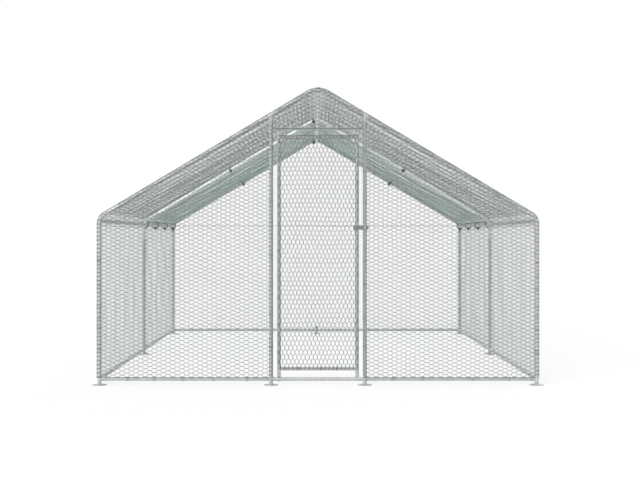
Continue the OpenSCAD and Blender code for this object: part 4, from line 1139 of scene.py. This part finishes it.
loops = []
for y in LOOP_YS:
    for side in (-1, 1):
        loops += loop_wires((side * PURLIN_X, y, PURLIN_Z), BACKWARD, UPWARD)
for middle, along, normal, turn in rafter_loops():
    loops += loop_wires(middle, along, math.cos(turn) * normal + np.array([0, math.sin(turn), 0]))
make("bungee_loops", *joined(loops), "elastic_cord", "frame", ("bungee_cords",))


# Camera, level and facing the front, its middle shifted to the vanishing point, in pixels of the view
IMAGE_W = 640
FOCAL_PX = 1104
VANISH = (313.3, 237.0)
CENTRE_PX = (320, 240)
CAMERA_AT = (-0.032, -9.577, 1.016)
SENSOR = 36
FARTHEST = 1000
camera_data = bpy.data.cameras.new("camera")
camera_data.sensor_width = SENSOR
camera_data.lens = FOCAL_PX / IMAGE_W * SENSOR
camera_data.shift_x = (CENTRE_PX[0] - VANISH[0]) / IMAGE_W
camera_data.shift_y = (VANISH[1] - CENTRE_PX[1]) / IMAGE_W
camera_data.clip_end = FARTHEST
camera = bpy.data.objects.new("camera", camera_data)
camera.location = CAMERA_AT
camera.rotation_euler = (math.pi / 2, 0, 0)
scene.collection.objects.link(camera)
scene.camera = camera

# Broad suns, each with its strength and aim
SUNS = (
    ("key", 2.2, (0.48, 0.70, -0.50)),
    ("rim", 0.5, (-0.35, -0.75, -0.55)),
    ("top", 0.5, (0.05, 0.1, -1.0)),
)
SUN_ANGLE = math.radians(40)
scene.view_settings.view_transform = "Standard"
for name, strength, aim in SUNS:
    sun = bpy.data.lights.new(name, "SUN")
    sun.energy = strength
    sun.angle = SUN_ANGLE
    lamp = bpy.data.objects.new(name, sun)
    lamp.rotation_euler = Vector(aim).to_track_quat("-Z", "Y").to_euler()
    scene.collection.objects.link(lamp)


# World and floor, which look white but light the part less
def seen_rays(tree):
    """One where a ray is seen, mirrored or refracted, and nought for light on a surface."""
    path = tree.nodes.new("ShaderNodeLightPath")
    kinds = ("Is Camera Ray", "Is Glossy Ray", "Is Transmission Ray")
    return combined(tree, "MAXIMUM", *(path.outputs[kind] for kind in kinds))


def studio_world(light):
    """A white world whose light on surfaces is weaker than what is seen of it."""
    world = bpy.data.worlds.new("studio")
    world.use_nodes = True
    tree = world.node_tree
    tree.nodes.clear()
    background = tree.nodes.new("ShaderNodeBackground")
    background.inputs["Color"].default_value = (1, 1, 1, 1)
    span = tree.nodes.new("ShaderNodeMapRange")
    span.inputs["To Min"].default_value = light
    span.inputs["To Max"].default_value = 1.0
    tree.links.new(seen_rays(tree), span.inputs["Value"])
    tree.links.new(span.outputs[0], background.inputs["Strength"])
    tree.links.new(background.outputs[0], tree.nodes.new("ShaderNodeOutputWorld").inputs[0])
    return world


def diffuse(tree, tone):
    """A matt grey."""
    node = tree.nodes.new("ShaderNodeBsdfDiffuse")
    node.inputs["Color"].default_value = (tone, tone, tone, 1)
    return node.outputs[0]


def studio_floor_material(bounce, shade, glow):
    """A floor that lights the part with one grey and is seen as a glow with a weak shadow on it."""
    mat = bpy.data.materials.new("studio_floor")
    mat.use_nodes = True
    tree = mat.node_tree
    tree.nodes.clear()
    emission = tree.nodes.new("ShaderNodeEmission")
    emission.inputs["Strength"].default_value = glow
    seen = tree.nodes.new("ShaderNodeAddShader")
    tree.links.new(diffuse(tree, shade), seen.inputs[0])
    tree.links.new(emission.outputs[0], seen.inputs[1])
    either = tree.nodes.new("ShaderNodeMixShader")
    tree.links.new(seen_rays(tree), either.inputs[0])
    tree.links.new(diffuse(tree, bounce), either.inputs[1])
    tree.links.new(seen.outputs[0], either.inputs[2])
    tree.links.new(either.outputs[0], tree.nodes.new("ShaderNodeOutputMaterial").inputs[0])
    return mat


WORLD_LIGHT = 0.34
FLOOR_BOUNCE = 0.88
FLOOR_SHADE = 0.22
FLOOR_GLOW = 0.80
FLOOR_HALF = 400
scene.world = studio_world(WORLD_LIGHT)
floor_mesh = bpy.data.meshes.new("studio_floor")
corners = rectangle(-FLOOR_HALF, -FLOOR_HALF, FLOOR_HALF, FLOOR_HALF)
floor_mesh.from_pydata([(x, y, 0) for x, y in corners.tolist()], [], [(0, 1, 2, 3)])
floor_mesh.materials.append(studio_floor_material(FLOOR_BOUNCE, FLOOR_SHADE, FLOOR_GLOW))
floor = bpy.data.objects.new("studio_floor", floor_mesh)
scene.collection.objects.link(floor)

bpy.context.view_layer.update()
